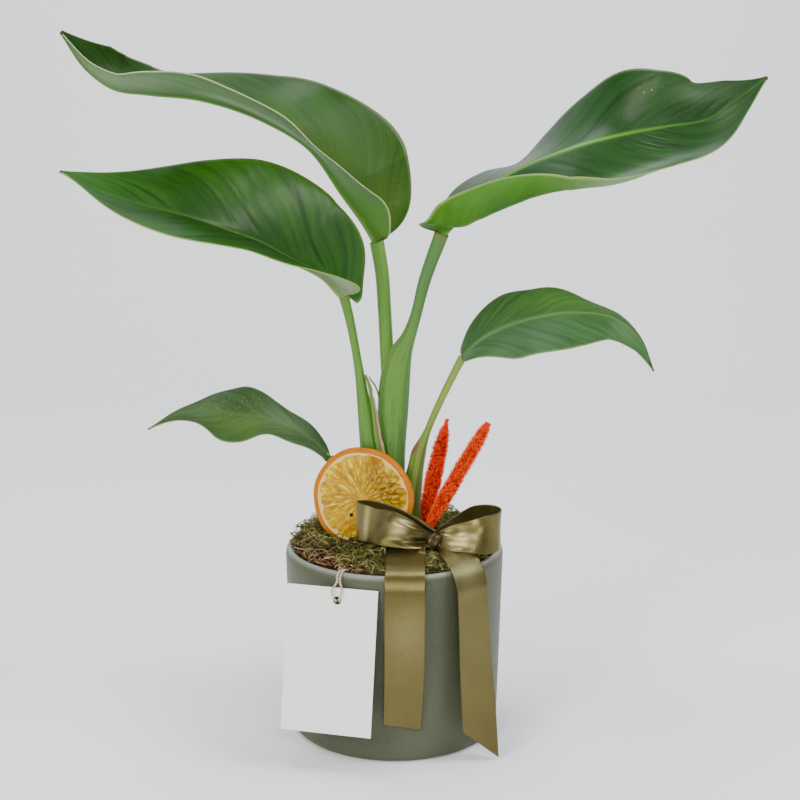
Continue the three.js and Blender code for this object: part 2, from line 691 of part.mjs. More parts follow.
const RIBBON = {
  left_loop: [
    [24, -34, 135.6, 0, 0.5, 1, 4.5],
    [14, -39, 139, 0, 0.45, 1, 8],
    [0, -42.5, 144, 0, 0.3, 1, 11],
    [-14, -42.5, 147.5, 0, 0.12, 1, 12.2],
    [-21.6, -39.5, 148.4, 0, 0, 1, 12.5],
    [-23, -35.6, 148.4, 0, 0, 1, 12.5],
    [-19, -32.4, 148, 0, 0, 1, 12.5],
    [-6, -30.8, 145.4, 0, 0, 1, 12],
    [10, -30.6, 141, 0, 0, 1, 9],
    [25, -31.4, 136, 0, 0.1, 1, 4.5],
  ],
  right_loop: [
    [27, -32, 135.5, 0, 0.5, 1, 4.5],
    [36, -37, 137, 0, 0.5, 1, 8.4],
    [48, -39.5, 138.6, 0, 0.5, 1, 10.4],
    [58, -38.5, 139.6, 0, 0.24, 1, 12],
    [65, -34, 140.4, 0, 0, 1, 12.4],
    [66.6, -28.5, 141, 0, 0, 1, 12.4],
    [63, -22.5, 141.8, 0, 0, 1, 12.2],
    [52, -21.4, 142, 0, 0, 1, 11.8],
    [40, -27, 139.5, 0, 0.1, 1, 9],
    [27, -30.8, 136, 0, 0.1, 1, 4.5],
  ],
  left_tail: [
    [22, -32.4, 133.8, 0.3, -0.7, 0.6, 3.4],
    [14.6, -36, 133, 0.6, -0.75, 0.25, 8],
    [9, -42.6, 131.4, 0.97, -0.2, 0.05, 11.6],
    [7, -54, 128, 1, 0, 0, 12.5],
    [6.9, -63, 124.6, 1, 0, 0, 12.5],
    [6.8, -67.6, 123.6, 1, 0, 0, 12.5],
    [6.8, -70.6, 121.4, 1, 0, 0, 12.5],
    [6.7, -71.8, 118, 1, 0, 0, 12.5],
    [6.6, -72.1, 110, 1, 0, 0, 12.5],
    [6.5, -71.8, 90, 1, 0.04, 0, 12.5],
    [6.3, -71.2, 66, 1, 0.1, 0, 12.5],
    [5.8, -71, 44, 0.98, 0.2, 0, 12.5],
    [5, -70.8, 22.6, 0.94, 0.34, 0, 12.3],
  ],
  right_tail: [
    [26.4, -33, 134, 0.2, 0.8, 0.6, 3.6],
    [33.5, -37, 132, 0.5, 0.82, 0.3, 8],
    [39, -45, 129.4, 0.74, 0.66, 0.1, 11.6],
    [43, -52, 126, 0.75, 0.66, 0, 12.5],
    [45.4, -55.8, 122.6, 0.75, 0.66, 0, 12.5],
    [46.8, -57.2, 117, 0.75, 0.66, 0, 12.5],
    [47.6, -56.4, 100, 0.76, 0.65, 0, 12.5],
    [50.2, -56.6, 64, 0.8, 0.6, 0, 12.5],
    [52.6, -61.4, 32, 0.86, 0.5, 0, 12.5],
    [54.4, -66.8, 1.8, 0.9, 0.42, 0, 12],
  ],
};
const RIBBON_CUT = { left_tail: 0.02, right_tail: 0.066 };
const KNOT_CENTRE = [25.4, -32.2, 135.4];
const KNOT_SIZE = [5.2, 4.4, 8];

// A loop bends all the way and has a station halfway between its rows as well.
function stripStations(path, looped) {
  const { shares } = path;
  if (!looped) return shares;
  return shares.flatMap((share, i) => (i === 0 ? [share] : [(shares[i - 1] + share) / 2, share]));
}

function stripGrid(name, growth) {
  const cut = RIBBON_CUT[name] ?? 0;
  const path = pathThrough(RIBBON[name]);
  const columns = [-1, -0.33, 0.33, 1];
  return stripStations(path, !(name in RIBBON_CUT)).map((station) => columns.map((s) => {
    const t = Math.min(1, station * (1 - Math.abs(cut) + cut * s));
    const [x, y, z, acrossX, acrossY, acrossZ, halfWidth] = path(t);
    const along = directionAlong(path, t);
    const across = new THREE.Vector3(acrossX, acrossY, acrossZ);
    across.addScaledVector(along, -across.dot(along)).normalize();
    return new THREE.Vector3(x, y, z).addScaledVector(across, (halfWidth + growth) * s);
  }));
}

function bowSolid(growth) {
  const offset = () => RIBBON_THICKNESS / 2 + growth;
  const strips = Object.keys(RIBBON).map((name) =>
    toSolid(slabOver(stripGrid(name, growth), offset, offset)));
  const knot = new THREE.SphereGeometry(1, 12, 8);
  knot.scale(...KNOT_SIZE.map((size) => size + growth));
  knot.rotateX(radians(-18));
  knot.translate(...KNOT_CENTRE);
  return strips.reduce((whole, strip) => whole.add(strip), toSolid(knot));
}

// The gift tag, a card with one hole, and its loop of twine

const TAG_CENTRE = [-39.6, -72, 70.2];
const TAG_TURN = -13.2;
const TAG_LEAN = 10.6;
const TAG_ROLL = -0.6;
const TAG_HOLE = [3.2, 37.2];

// The twine comes up out of the moss, over the rim and down to the hole, makes a small
// loop behind the card and comes back the same way. These points are in the card's own
// frame, from the hole: across it, up it, and off its front.
const TWINE_EYE = [
  [-0.5, 11.4, 1.4], [-2, 8.6, 1.8], [-2.9, 5.6, 2.4], [-2.3, 2.6, 2.7], [-1.5, 0.7, 1.6],
  [-1.15, 0, 0], [-1.4, -0.8, -1.5], [-2.2, -2, -2.8], [-2.8, -4.6, -3.2], [0, -7.4, -3.2],
  [2.8, -4.6, -3.2], [2.2, -2, -2.8], [1.4, -0.8, -1.5], [1.15, 0, 0],
  [1.5, 0.7, 1.6], [2.4, 2.6, 2.7], [3.1, 5.6, 2.4], [2.6, 8.6, 1.8], [1.5, 11.4, 1.4],
];
const TWINE_DOWN = [
  [-27, -50.6, 115], [-28.6, -53, 119.4], [-30.4, -56, 122.8], [-32.6, -58.8, 123.5], [-34.2, -62.2, 121.9],
];
const TWINE_BACK = [
  [-32.3, -62.8, 121.9], [-30.8, -59.6, 123.5], [-28.7, -56.8, 122.8], [-26.8, -54, 119.4], [-25.2, -51.6, 115],
];
const TWINE_STEPS = 60;
const TWINE_SIDES = 8;

const tagPlace = new THREE.Matrix4().makeTranslation(...TAG_CENTRE)
  .multiply(new THREE.Matrix4().makeRotationZ(radians(TAG_TURN)))
  .multiply(new THREE.Matrix4().makeRotationX(radians(90 - TAG_LEAN)))
  .multiply(new THREE.Matrix4().makeRotationZ(radians(TAG_ROLL)));

function tagGeometry() {
  const outline = new THREE.Shape([
    new THREE.Vector2(-TAG_WIDTH / 2, -TAG_HEIGHT / 2),
    new THREE.Vector2(TAG_WIDTH / 2, -TAG_HEIGHT / 2),
    new THREE.Vector2(TAG_WIDTH / 2, TAG_HEIGHT / 2),
    new THREE.Vector2(-TAG_WIDTH / 2, TAG_HEIGHT / 2),
  ]);
  const hole = new THREE.Path().absarc(TAG_HOLE[0], TAG_HOLE[1], TAG_HOLE_RADIUS, 0, 2 * Math.PI);
  outline.holes.push(hole);
  const card = new THREE.ExtrudeGeometry(outline, {
    depth: TAG_THICKNESS,
    bevelEnabled: false,
    curveSegments: 10,
  });
  card.translate(0, 0, -TAG_THICKNESS / 2);
  return card.applyMatrix4(tagPlace);
}

function twineGeometry(growth) {
  const radius = TWINE_DIAMETER / 2 + growth;
  const section = new THREE.Shape(Array.from({ length: TWINE_SIDES }, (_, i) => {
    const angle = (2 * Math.PI * i) / TWINE_SIDES;
    return new THREE.Vector2(radius * Math.cos(angle), radius * Math.sin(angle));
  }));
  const eye = TWINE_EYE.map(([across, up, off]) =>
    new THREE.Vector3(TAG_HOLE[0] + across, TAG_HOLE[1] + up, off).applyMatrix4(tagPlace));
  const [down, back] = [TWINE_DOWN, TWINE_BACK].map((rows) =>
    rows.map((point) => new THREE.Vector3(...point)));
  const route = [...down, ...eye, ...back];
  const last = route.length - 1;
  route[0].add(route[0].clone().sub(route[1]).setLength(growth));
  route[last].add(route[last].clone().sub(route[last - 1]).setLength(growth));
  const extrudePath = new THREE.CatmullRomCurve3(route, false, "centripetal");
  return new THREE.ExtrudeGeometry(section, { steps: TWINE_STEPS, bevelEnabled: false, extrudePath });
}

// The moss: a rough mound with arched strands rising from it, cut to stand clear of the
// stalks, the slice, the spikes, the bow and the twine.

const MOSS_BOTTOM = SOIL_TOP + GAP;
const MOSS_RINGS = 9;
const MOSS_SECTORS = 36;
const MOSS_SEED = 7;
const MOSS_CLEARANCE = 0.6;
const TUFT_RADIUS = 1.1;
const TUFT_REACH = 58;
const TUFT_STEPS = 3;

function mossHeight(x, y) {
  const share = Math.min(1, Math.hypot(x, y) / MOSS_RADIUS);
  const mound = MOSS_MOUND * (1 - share * share) ** 0.8
    + (MOSS_BACK_RISE * share * Math.max(0, y)) / MOSS_RADIUS;
  const lumps = Math.sin(x / 4.3 + 1.4 * Math.sin(y / 6.1)) * Math.cos(y / 4.9 + x / 9.7);
  return MOSS_EDGE_TOP + mound + 1.5 * lumps * (1 - share ** 4);
}

function mossBase(random) {
  const ring = (radius, height) => Array.from({ length: MOSS_SECTORS }, (_, j) => {
    const angle = (2 * Math.PI * j) / MOSS_SECTORS;
    const x = radius * Math.cos(angle);
    const y = radius * Math.sin(angle);
    return new THREE.Vector3(x, y, height ?? mossHeight(x, y) + 1.4 * (random() - 0.5));
  });
  const rings = [ring(MOSS_RADIUS, MOSS_BOTTOM)];
  for (let i = MOSS_RINGS; i > 0; i -= 1) rings.push(ring((MOSS_RADIUS * i) / MOSS_RINGS));
  return toSolid(ringStack(rings));
}

function mossTuft(random) {
  const distance = TUFT_REACH * Math.sqrt(random());
  const around = 2 * Math.PI * random();
  const heading = 2 * Math.PI * random();
  const length = 11 + 8 * random();
  const arch = 3 + 3.5 * random();
  const start = [distance * Math.cos(around), distance * Math.sin(around)];
  const rings = Array.from({ length: TUFT_STEPS + 1 }, (_, i) => {
    const share = i / TUFT_STEPS;
    const x = start[0] + length * (share - 0.5) * Math.cos(heading);
    const y = start[1] + length * (share - 0.5) * Math.sin(heading);
    const limit = Math.min(1, (MOSS_RADIUS - 1.5) / Math.hypot(x, y));
    const height = mossHeight(x * limit, y * limit) - 2 + arch * Math.sin(Math.PI * share) * 1.3;
    const centre = new THREE.Vector3(x * limit, y * limit, height);
    return [0, 1, 2].map((k) => {
      const angle = (2 * Math.PI * k) / 3 + Math.PI / 2;
      const side = TUFT_RADIUS * Math.cos(angle);
      return centre.clone().add(new THREE.Vector3(
        -side * Math.sin(heading), side * Math.cos(heading), TUFT_RADIUS * Math.sin(angle)));
    });
  });
  return toSolid(ringStack(rings));
}

function mossSolid(clearances) {
  const random = seededRandom(MOSS_SEED);
  let moss = mossBase(random);
  for (let i = 0; i < MOSS_TUFTS; i += 1) moss = moss.add(mossTuft(random));
  return largestPiece(clearances.reduce((rest, room) => rest.subtract(room), moss));
}

addPiece("ceramic_pot", potGeometry(), COLOURS.pot, 0.55);

const stalks = stalkSolids();
STALK_ORDER.forEach((name) => {
  addPiece(`leaf_${name}_stalk`, toGeometry(stalks[name]), COLOURS.stalk, 0.5);
  const blade = toSolid(bladeGeometry(BLADES[name])).subtract(stalkSolid(STALKS[name], GAP));
  addPiece(`leaf_${name}_blade`, toGeometry(largestPiece(blade)), COLOURS.blade, 0.4);
});
const stalkRoom = STALK_ORDER.map((name) => stalkSolid(STALKS[name], GAP));

const soil = stalkRoom.reduce((rest, room) => rest.subtract(room), soilSolid());
addPiece("potting_soil", toGeometry(soil), COLOURS.soil, 0.95);

const moss = mossSolid([
  ...stalkRoom,
  sliceSocket(),
  ...Object.values(SPIKES).map(spikeSocket),
  bowSolid(MOSS_CLEARANCE),
  toSolid(twineGeometry(GAP)),
]);
addPiece("moss_cover", toGeometry(moss), COLOURS.moss, 0.95);

addPiece("orange_slice", toGeometry(sliceSolid()), COLOURS.slice, 0.6);
Object.entries(SPIKES).forEach(([name, spike]) => {
  addPiece(name, toGeometry(spikeSolid(spike)), COLOURS[spike.colour], 0.8);
});
addPiece("satin_bow", toGeometry(largestPiece(bowSolid(0))), COLOURS.ribbon, 0.35);
addPiece("gift_tag", tagGeometry(), COLOURS.tag, 0.7);
addPiece("tag_twine", twineGeometry(0), COLOURS.twine, 0.9);

export default plant;
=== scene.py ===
# The potted bird of paradise dressed for its portrait: finer pieces with procedural
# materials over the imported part, a pale floor, soft studio light and the camera. Shapes
# are in millimetres, in the part's own frame, and become metres when a mesh is made.

import math

import bpy
import numpy as np
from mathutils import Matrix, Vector, noise
from mathutils.bvhtree import BVHTree
from mathutils.kdtree import KDTree


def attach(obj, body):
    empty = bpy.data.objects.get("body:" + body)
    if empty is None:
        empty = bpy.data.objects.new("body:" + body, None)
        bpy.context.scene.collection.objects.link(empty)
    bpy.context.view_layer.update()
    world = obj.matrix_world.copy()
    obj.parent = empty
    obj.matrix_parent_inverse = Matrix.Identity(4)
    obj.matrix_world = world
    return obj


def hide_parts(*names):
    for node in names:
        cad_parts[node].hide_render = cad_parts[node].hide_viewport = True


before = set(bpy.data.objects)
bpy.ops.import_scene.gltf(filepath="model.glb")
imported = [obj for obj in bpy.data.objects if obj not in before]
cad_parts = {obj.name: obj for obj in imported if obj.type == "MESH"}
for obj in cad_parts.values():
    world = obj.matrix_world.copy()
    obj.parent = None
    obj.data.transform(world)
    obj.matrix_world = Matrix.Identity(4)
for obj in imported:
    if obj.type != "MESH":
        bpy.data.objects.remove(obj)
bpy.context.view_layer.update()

MM = 0.001
TURN = 2 * np.pi


# Numbers and curves


def smooth_through(knots, rows):
    """A curve through rows of numbers: cubic between two knots, with the slope at a knot of
    the parabola through the three nearest rows."""
    knots, rows = np.asarray(knots, float), np.asarray(rows, float)
    gaps = np.diff(knots)[:, None]
    rates = np.diff(rows, axis=0) / gaps
    inner = (gaps[1:] * rates[:-1] + gaps[:-1] * rates[1:]) / (gaps[1:] + gaps[:-1])
    slopes = np.vstack([rates[:1], inner, rates[-1:]])

    def at(t):
        t = np.atleast_1d(np.asarray(t, float))
        i = np.clip(np.searchsorted(knots, t) - 1, 0, len(knots) - 2)
        span = (knots[i + 1] - knots[i])[:, None]
        u = (t - knots[i])[:, None] / span
        start = (1 + 2 * u) * (1 - u) ** 2 * rows[i] + u * (1 - u) ** 2 * span * slopes[i]
        end = u * u * (3 - 2 * u) * rows[i + 1] + u * u * (u - 1) * span * slopes[i + 1]
        return start + end

    return at


def steps_along(line):
    return np.linalg.norm(np.diff(np.asarray(line, float)[:, :3], axis=0), axis=1)


def path_through(rows):
    """The same curve with its knots at the share of the way along, from 0 to 1."""
    knots = np.concatenate([[0], np.cumsum(steps_along(rows))])
    return smooth_through(knots / knots[-1], rows)


def unit(vectors):
    return vectors / np.maximum(np.linalg.norm(vectors, axis=-1, keepdims=True), 1e-12)


def direction_along(path, t):
    return unit(path(np.minimum(1, t + 0.005))[:, :3] - path(np.maximum(0, t - 0.005))[:, :3])


def smooth_step(value, low, high):
    u = np.clip((value - low) / (high - low), 0, 1)
    return u * u * (3 - 2 * u)


def bell(distance):
    return np.exp(-(distance**2))


def soft_spots(spots, t, s):
    """The sum of soft ovals: share along, place across, half length, half width, amount."""
    return sum(amount * bell(np.hypot((t - at) / half_t, (s - across) / half_s))
        for at, across, half_t, half_s, amount in spots)


def mark_fields(names, marks, along, across, wrap=False):
    """Fields made of soft ovals: (field, place along, place across, half length, half
    width, amount). Where it wraps, the place across is in degrees."""
    fields = {name: np.zeros(along.shape) for name in names.split()}
    for field, at, beside, half_length, half_width, amount in marks:
        apart = (across - beside + 180) % 360 - 180 if wrap else across - beside
        spread = bell(np.hypot((along - at) / half_length, apart / half_width) * 0.9)
        fields[field] = np.maximum(fields[field], amount * spread)
    return fields


def turned(points, *turns):
    """Points turned about the x or z axis by degrees, one turn after another."""
    for axis, degrees in turns:
        c, s = math.cos(math.radians(degrees)), math.sin(math.radians(degrees))
        matrices = {"x": [[1, 0, 0], [0, c, -s], [0, s, c]], "z": [[c, -s, 0], [s, c, 0], [0, 0, 1]]}
        points = np.asarray(points) @ np.array(matrices[axis]).T
    return points


def lumps(points, size, octaves):
    """Smooth noise from -1 to 1 at points in millimetres."""
    return np.array([noise.fractal(Vector(p) / size, 1.0, 2.0, octaves) for p in points])


def round_angles(count):
    return TURN * np.arange(count) / count


def way_round(angle, one, other):
    """The direction at an angle between two that are square to each other."""
    return np.cos(angle) * one + np.sin(angle) * other


def centripetal_curve(route, steps):
    """Points along a centripetal Catmull-Rom curve, evenly spaced in its own steps."""
    route = np.asarray(route, float)
    ring = np.vstack([2 * route[0] - route[1], route, 2 * route[-1] - route[-2]])
    made = []
    for share in np.linspace(0, len(route) - 1, steps):
        i = min(int(share), len(route) - 2)
        u = share - i
        p0, p1, p2, p3 = ring[i : i + 4]
        d0, d1, d2 = (max(np.linalg.norm(b - a) ** 0.5, 1e-4) for a, b in ((p0, p1), (p1, p2), (p2, p3)))
        start = ((p1 - p0) / d0 - (p2 - p0) / (d0 + d1) + (p2 - p1) / d1) * d1
        end = ((p2 - p1) / d1 - (p3 - p1) / (d1 + d2) + (p3 - p2) / d2) * d1
        square = (-3 * p1 + 3 * p2 - 2 * start - end) * u**2
        made.append(p1 + start * u + square + (2 * p1 - 2 * p2 + start + end) * u**3)
    return np.array(made)


# Meshes


def grid_faces(rows, columns, around=False, first=0, flip=False):
    """The quads of a grid of points, closed round its columns where asked."""
    i, j = np.meshgrid(np.arange(rows - 1), np.arange(columns if around else columns - 1), indexing="ij")
    a = first + i * columns + j
    b = first + i * columns + (j + 1) % columns
    corners = [a, b, b + columns, a + columns] if flip else [a, a + columns, b + columns, b]
    return np.stack(corners, -1).reshape(-1, 4).tolist()


def rod_faces(rows, sides, flip=True):
    """The faces of a closed tube: its side, then both ends."""
    first = list(range(sides))
    last = [k + (rows - 1) * sides for k in first]
    ends = [first[::-1], last] if flip else [first, last[::-1]]
    return grid_faces(rows, sides, around=True, flip=flip) + ends


def fan_faces(first, count, middle, flip=False):
    """Triangles from a ring of points to one in its middle."""
    ring = [(first + j, first + (j + 1) % count) for j in range(count)]
    return [[b, a, middle] if flip else [a, b, middle] for a, b in ring]


def add_object(name, data, place=(0, 0, 0)):
    made = bpy.data.objects.new(name, data)
    made.location = place
    bpy.context.scene.collection.objects.link(made)
    return made


def make_mesh(name, points, faces, fields, materials, slots=None):
    """A mesh object from points in millimetres, with a number for each point in every field."""
    mesh = bpy.data.meshes.new(name)
    mesh.from_pydata((np.asarray(points, float) * MM).tolist(), [], faces)
    for field, values in fields.items():
        mesh.attributes.new(field, "FLOAT", "POINT").data.foreach_set("value", np.asarray(values, np.float32))
    for material in materials:
        mesh.materials.append(material)
    if slots is not None:
        mesh.polygons.foreach_set("material_index", np.asarray(slots, np.int32))
    mesh.polygons.foreach_set("use_smooth", np.ones(len(mesh.polygons), bool))
    mesh.validate()
    mesh.update()
    return add_object(name, mesh)


def add_piece(name, points, faces, fields, materials, replaces, slot, slots=None):
    piece = make_mesh(name, points, faces, fields, materials, slots)
    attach(piece, "root")
    if replaces:
        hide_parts(*replaces)
    return piece


def grid_normals(grid):
    return unit(np.cross(np.gradient(grid, axis=0), np.gradient(grid, axis=1)))


def slab_over(grid, upper, lower):
    """Points, faces and each face's side for a thin slab over a grid of middle points: its
    faces are set off along the grid's normals. Side 0 is the upper face and the edge."""
    rows, columns = grid.shape[:2]
    below = rows * columns
    normals = grid_normals(grid)
    surfaces = [grid + normals * upper[..., None], grid - normals * lower[..., None]]
    faces = grid_faces(rows, columns) + grid_faces(rows, columns, first=below, flip=True)
    index = np.arange(below).reshape(rows, columns)
    rim = np.concatenate([index[0, :-1], index[:-1, -1], index[-1, :0:-1], index[:0:-1, 0]])
    after = np.roll(rim, -1)
    edge = np.stack([rim, after, after + below, rim + below], -1).tolist()
    half = len(faces) // 2
    return np.concatenate(surfaces).reshape(-1, 3), faces + edge, [0] * half + [1] * half + [0] * len(edge)


def frames_along(centres):
    """Two directions square to a line of points at each of them, turning as little as they can."""
    tangents = unit(np.gradient(centres, axis=0))
    side = np.cross(tangents[0], [0.3, 0.2, 1.0])
    sides = []
    for tangent in tangents:
        side = side - tangent * np.dot(side, tangent)
        side = side / np.linalg.norm(side)
        sides.append(side)
    return np.array(sides), np.cross(tangents, sides)


def tube(centres, radii, sides):
    """A closed tube round a line of points, as points and faces."""
    centres = np.asarray(centres, float)
    radii = np.broadcast_to(radii, len(centres))
    one, other = frames_along(centres)
    ring = way_round(round_angles(sides)[None, :, None], one[:, None], other[:, None])
    points = (centres[:, None] + radii[:, None, None] * ring).reshape(-1, 3)
    return points, rod_faces(len(centres), sides)


def joined(parts):
    """Parts given as (points, faces, fields) joined into one of each."""
    points, faces, fields, total = [], [], {}, 0
    for part_points, part_faces, part_fields in parts:
        faces.extend([[k + total for k in face] for face in part_faces])
        points.append(part_points)
        total += len(part_points)
        for field, values in part_fields.items():
            fields.setdefault(field, []).append(np.broadcast_to(values, len(part_points)))
    return np.concatenate(points), faces, {k: np.concatenate(v) for k, v in fields.items()}


# Materials


def colour(code):
    """A colour written as on the screen, in the linear numbers that shaders use."""
    shares = [int(code[i : i + 2], 16) / 255 for i in (0, 2, 4)]
    return (*(s / 12.92 if s <= 0.04045 else ((s + 0.055) / 1.055) ** 2.4 for s in shares), 1.0)


class Wire:
    """A number or colour that flows between nodes, with plain arithmetic."""

    def __init__(self, shade, socket):
        self.shade = shade
        self.socket = socket

    def __add__(self, other):
        return self.shade.math("ADD", self, other)

    def __sub__(self, other):
        return self.shade.math("SUBTRACT", self, other)

    def __rsub__(self, other):
        return self.shade.math("SUBTRACT", other, self)

    def __mul__(self, other):
        return self.shade.math("MULTIPLY", self, other)

    __radd__ = __add__
    __rmul__ = __mul__

    def sine(self):
        return self.shade.math("SINE", self)

    def size(self):
        return self.shade.math("ABSOLUTE", self)

    def most(self, other):
        return self.shade.math("MAXIMUM", self, other)

    def between(self, low, high):
        """A smooth rise from 0 at low to 1 at high, or a fall where low is the greater."""
        inputs = {"Value": self, "From Min": min(low, high), "From Max": max(low, high),
            "To Min": float(low > high), "To Max": float(low <= high)}
        return self.shade.node("MapRange", "Result", inputs, interpolation_type="SMOOTHSTEP")


class Shade:
    """A material on one Principled shader. Plain values are set on its own sockets."""

    def __init__(self, name, **plain):
        self.material = bpy.data.materials.new(name)
        self.material.use_nodes = True
        self.tree = self.material.node_tree
        self.place = self.node("TexCoord", "Object", {})
        self.set(plain)

    def set(self, sockets):
        for name, value in sockets.items():
            name = name.replace("_", " ").title().replace("Ior", "IOR")
            self.feed(self.tree.nodes["Principled BSDF"].inputs[name], value)

    def feed(self, socket, value):
        if isinstance(value, Wire):
            self.tree.links.new(value.socket, socket)
        else:
            socket.default_value = colour(value) if isinstance(value, str) else value

    def node(self, kind, output, inputs, **settings):
        """The wire that leaves a new node."""
        made = self.tree.nodes.new("ShaderNode" + kind)
        for setting, value in settings.items():
            setattr(made, setting, value)
        for socket, value in inputs.items():
            self.feed(made.inputs[socket], value)
        return Wire(self, made.outputs[output])

    def math(self, operation, *values):
        return self.node("Math", 0, dict(enumerate(values)), operation=operation)

    def field(self, name):
        return self.node("Attribute", "Fac", {}, attribute_name=name)

    def fields(self, names):
        return [self.field(name) for name in names.split()]

    def noise(self, scale, detail=2.0, roughness=0.5, where=None):
        inputs = {"Vector": where or self.place, "Scale": scale, "Detail": detail, "Roughness": roughness}
        return self.node("TexNoise", "Fac", inputs)

    def bands(self, x, y, z, **more):
        """Noise over three numbers of the surface's own."""
        return self.noise(1.0, where=self.node("CombineXYZ", 0, {0: x, 1: y, 2: z}), **more)

    def cells(self, scale):
        return self.node("TexVoronoi", "Distance", {"Vector": self.place, "Scale": scale})

    def paint(self, base, *coats, **sockets):
        """A base colour under coats given as (amount, colour), and the other sockets."""
        for amount, tint in coats:
            base = self.node("Mix", 2, {"Factor": amount, 6: base, 7: tint}, data_type="RGBA")
        self.set({"base_color": base, **sockets})
        return self.material

    def bump(self, height, depth):
        """Relief of that depth in metres where height goes from 0 to 1."""
        inputs = {"Strength": 1.0, "Distance": depth, "Height": height}
        self.set({"normal": self.node("Bump", "Normal", inputs)})
        return self.material


def dress(node, material):
    """Gives a look to a solid that is kept as it is."""
    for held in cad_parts[node].material_slots:
        held.material = material


# The camera and the studio

LENS_MM = 72.5
SENSOR_MM = 36.0
CAMERA_PLACE = (3.66, -995.28, 441.83)
CAMERA_PITCH = 12.74
FLOOR_WIDTH = 5.0
WALL_TURN = 0.6
WALL_START = 0.9
WALL_HEIGHT = 3.0

# Each light's place, the height that it aims at, its size, power and tint.
LIGHTS = {
    "front_light": ((0.26, -1.86, 1.0), 0.3, (0.7, 0.5), 13, "fffdf8"),
    "key_light": ((-1.25, -1.6, 1.35), 0.25, (0.9, 0.9), 36, "fffaf2"),
    "right_light": ((1.3, -0.45, 1.75), 0.25, (0.9, 0.9), 26, "f4f8ff"),
    "top_light": ((-0.3, 0.1, 2.1), 0.2, (1.2, 0.8), 30, "f4f8ff"),
}


def add_camera():
    data = bpy.data.cameras.new("camera")
    data.lens = LENS_MM
    data.sensor_width = SENSOR_MM
    camera = add_object("camera", data, [c * MM for c in CAMERA_PLACE])
    camera.rotation_euler = (math.radians(90 - CAMERA_PITCH), 0, 0)
    bpy.context.scene.camera = camera


def add_backdrop():
    """A pale floor that rises into a wall in one sweep."""
    shade = Shade("backdrop_paper", roughness=0.9)
    shade.paint("fbfbfa", (shade.noise(3.0, detail=3.0), "fdfdfd"))
    run = [(-1.6, 0.0), (-1.0, 0.0), (0.0, 0.0), (WALL_START, 0.0)]
    for angle in np.radians(np.linspace(7.5, 90, 12)):
        run.append((WALL_START + WALL_TURN * math.sin(angle), WALL_TURN * (1 - math.cos(angle))))
    run.append((WALL_START + WALL_TURN, WALL_HEIGHT))
    across = np.linspace(-FLOOR_WIDTH / 2, FLOOR_WIDTH / 2, 9)
    points = [[x / MM, y / MM, z / MM] for y, z in run for x in across]
    floor = make_mesh("backdrop", points, grid_faces(len(run), len(across), flip=True), {}, [shade.material])


def add_studio():
    world = bpy.data.worlds.new("studio")
    world.use_nodes = True
    background = world.node_tree.nodes["Background"]
    background.inputs["Color"].default_value = colour("f2f6ff")
    background.inputs["Strength"].default_value = 0.3
    bpy.context.scene.world = world
    for name, (place, aim, size, power, tint) in LIGHTS.items():
        data = bpy.data.lights.new(name, "AREA")
        data.shape = "RECTANGLE"
        data.size, data.size_y = size
        data.energy = power
        data.color = colour(tint)[:3]
        way = Vector((0, 0, aim)) - Vector(place)
        add_object(name, data, place).rotation_euler = way.to_track_quat("-Z", "Y").to_euler()


add_camera()


# The tag's loop of twine, first of the pieces because it is a cord

TAG_CENTRE = (-39.6, -72, 70.2)
TAG_TURN = -13.2
TAG_LEAN = 10.6
TAG_ROLL = -0.6
TAG_HOLE = (3.2, 37.2)

# The route: out of the moss, over the rim and down to the hole, a small loop behind the
# card, and back. The middle points are in the card's frame, from the hole: across it, up
# it, and off its front.
TWINE_DOWN = [(-27, -50.6, 115), (-28.6, -53, 119.4), (-30.4, -56, 122.8), (-32.6, -58.8, 123.5),
    (-34.2, -62.2, 121.9)]
TWINE_EYE = [
    (-0.5, 11.4, 1.4), (-2, 8.6, 1.8), (-2.9, 5.6, 2.4), (-2.3, 2.6, 2.7), (-1.5, 0.7, 1.6), (-1.15, 0, 0),
    (-1.4, -0.8, -1.5), (-2.2, -2, -2.8), (-2.8, -4.6, -3.2), (0, -7.4, -3.2), (2.8, -4.6, -3.2),
    (2.2, -2, -2.8), (1.4, -0.8, -1.5), (1.15, 0, 0), (1.5, 0.7, 1.6), (2.4, 2.6, 2.7), (3.1, 5.6, 2.4),
    (2.6, 8.6, 1.8), (1.5, 11.4, 1.4),
]
TWINE_BACK = [(-32.3, -62.8, 121.9), (-30.8, -59.6, 123.5), (-28.7, -56.8, 122.8), (-26.8, -54, 119.4),
    (-25.2, -51.6, 115)]
TWINE_DIAMETER = 1.3
TWINE_PLIES = 2
TWINE_PITCH = 4.2
TWINE_HAIRS = 520
TWINE_SEED = 11


def twine_material():
    shade = Shade("twine_jute", roughness=0.9, sheen_weight=0.25, sheen_roughness=0.5)
    streak = shade.noise(900.0, detail=3.0)
    shade.paint("a98f72", (streak.between(0.3, 0.7), "e3d3bd"))
    return shade.bump(streak, 0.0002)


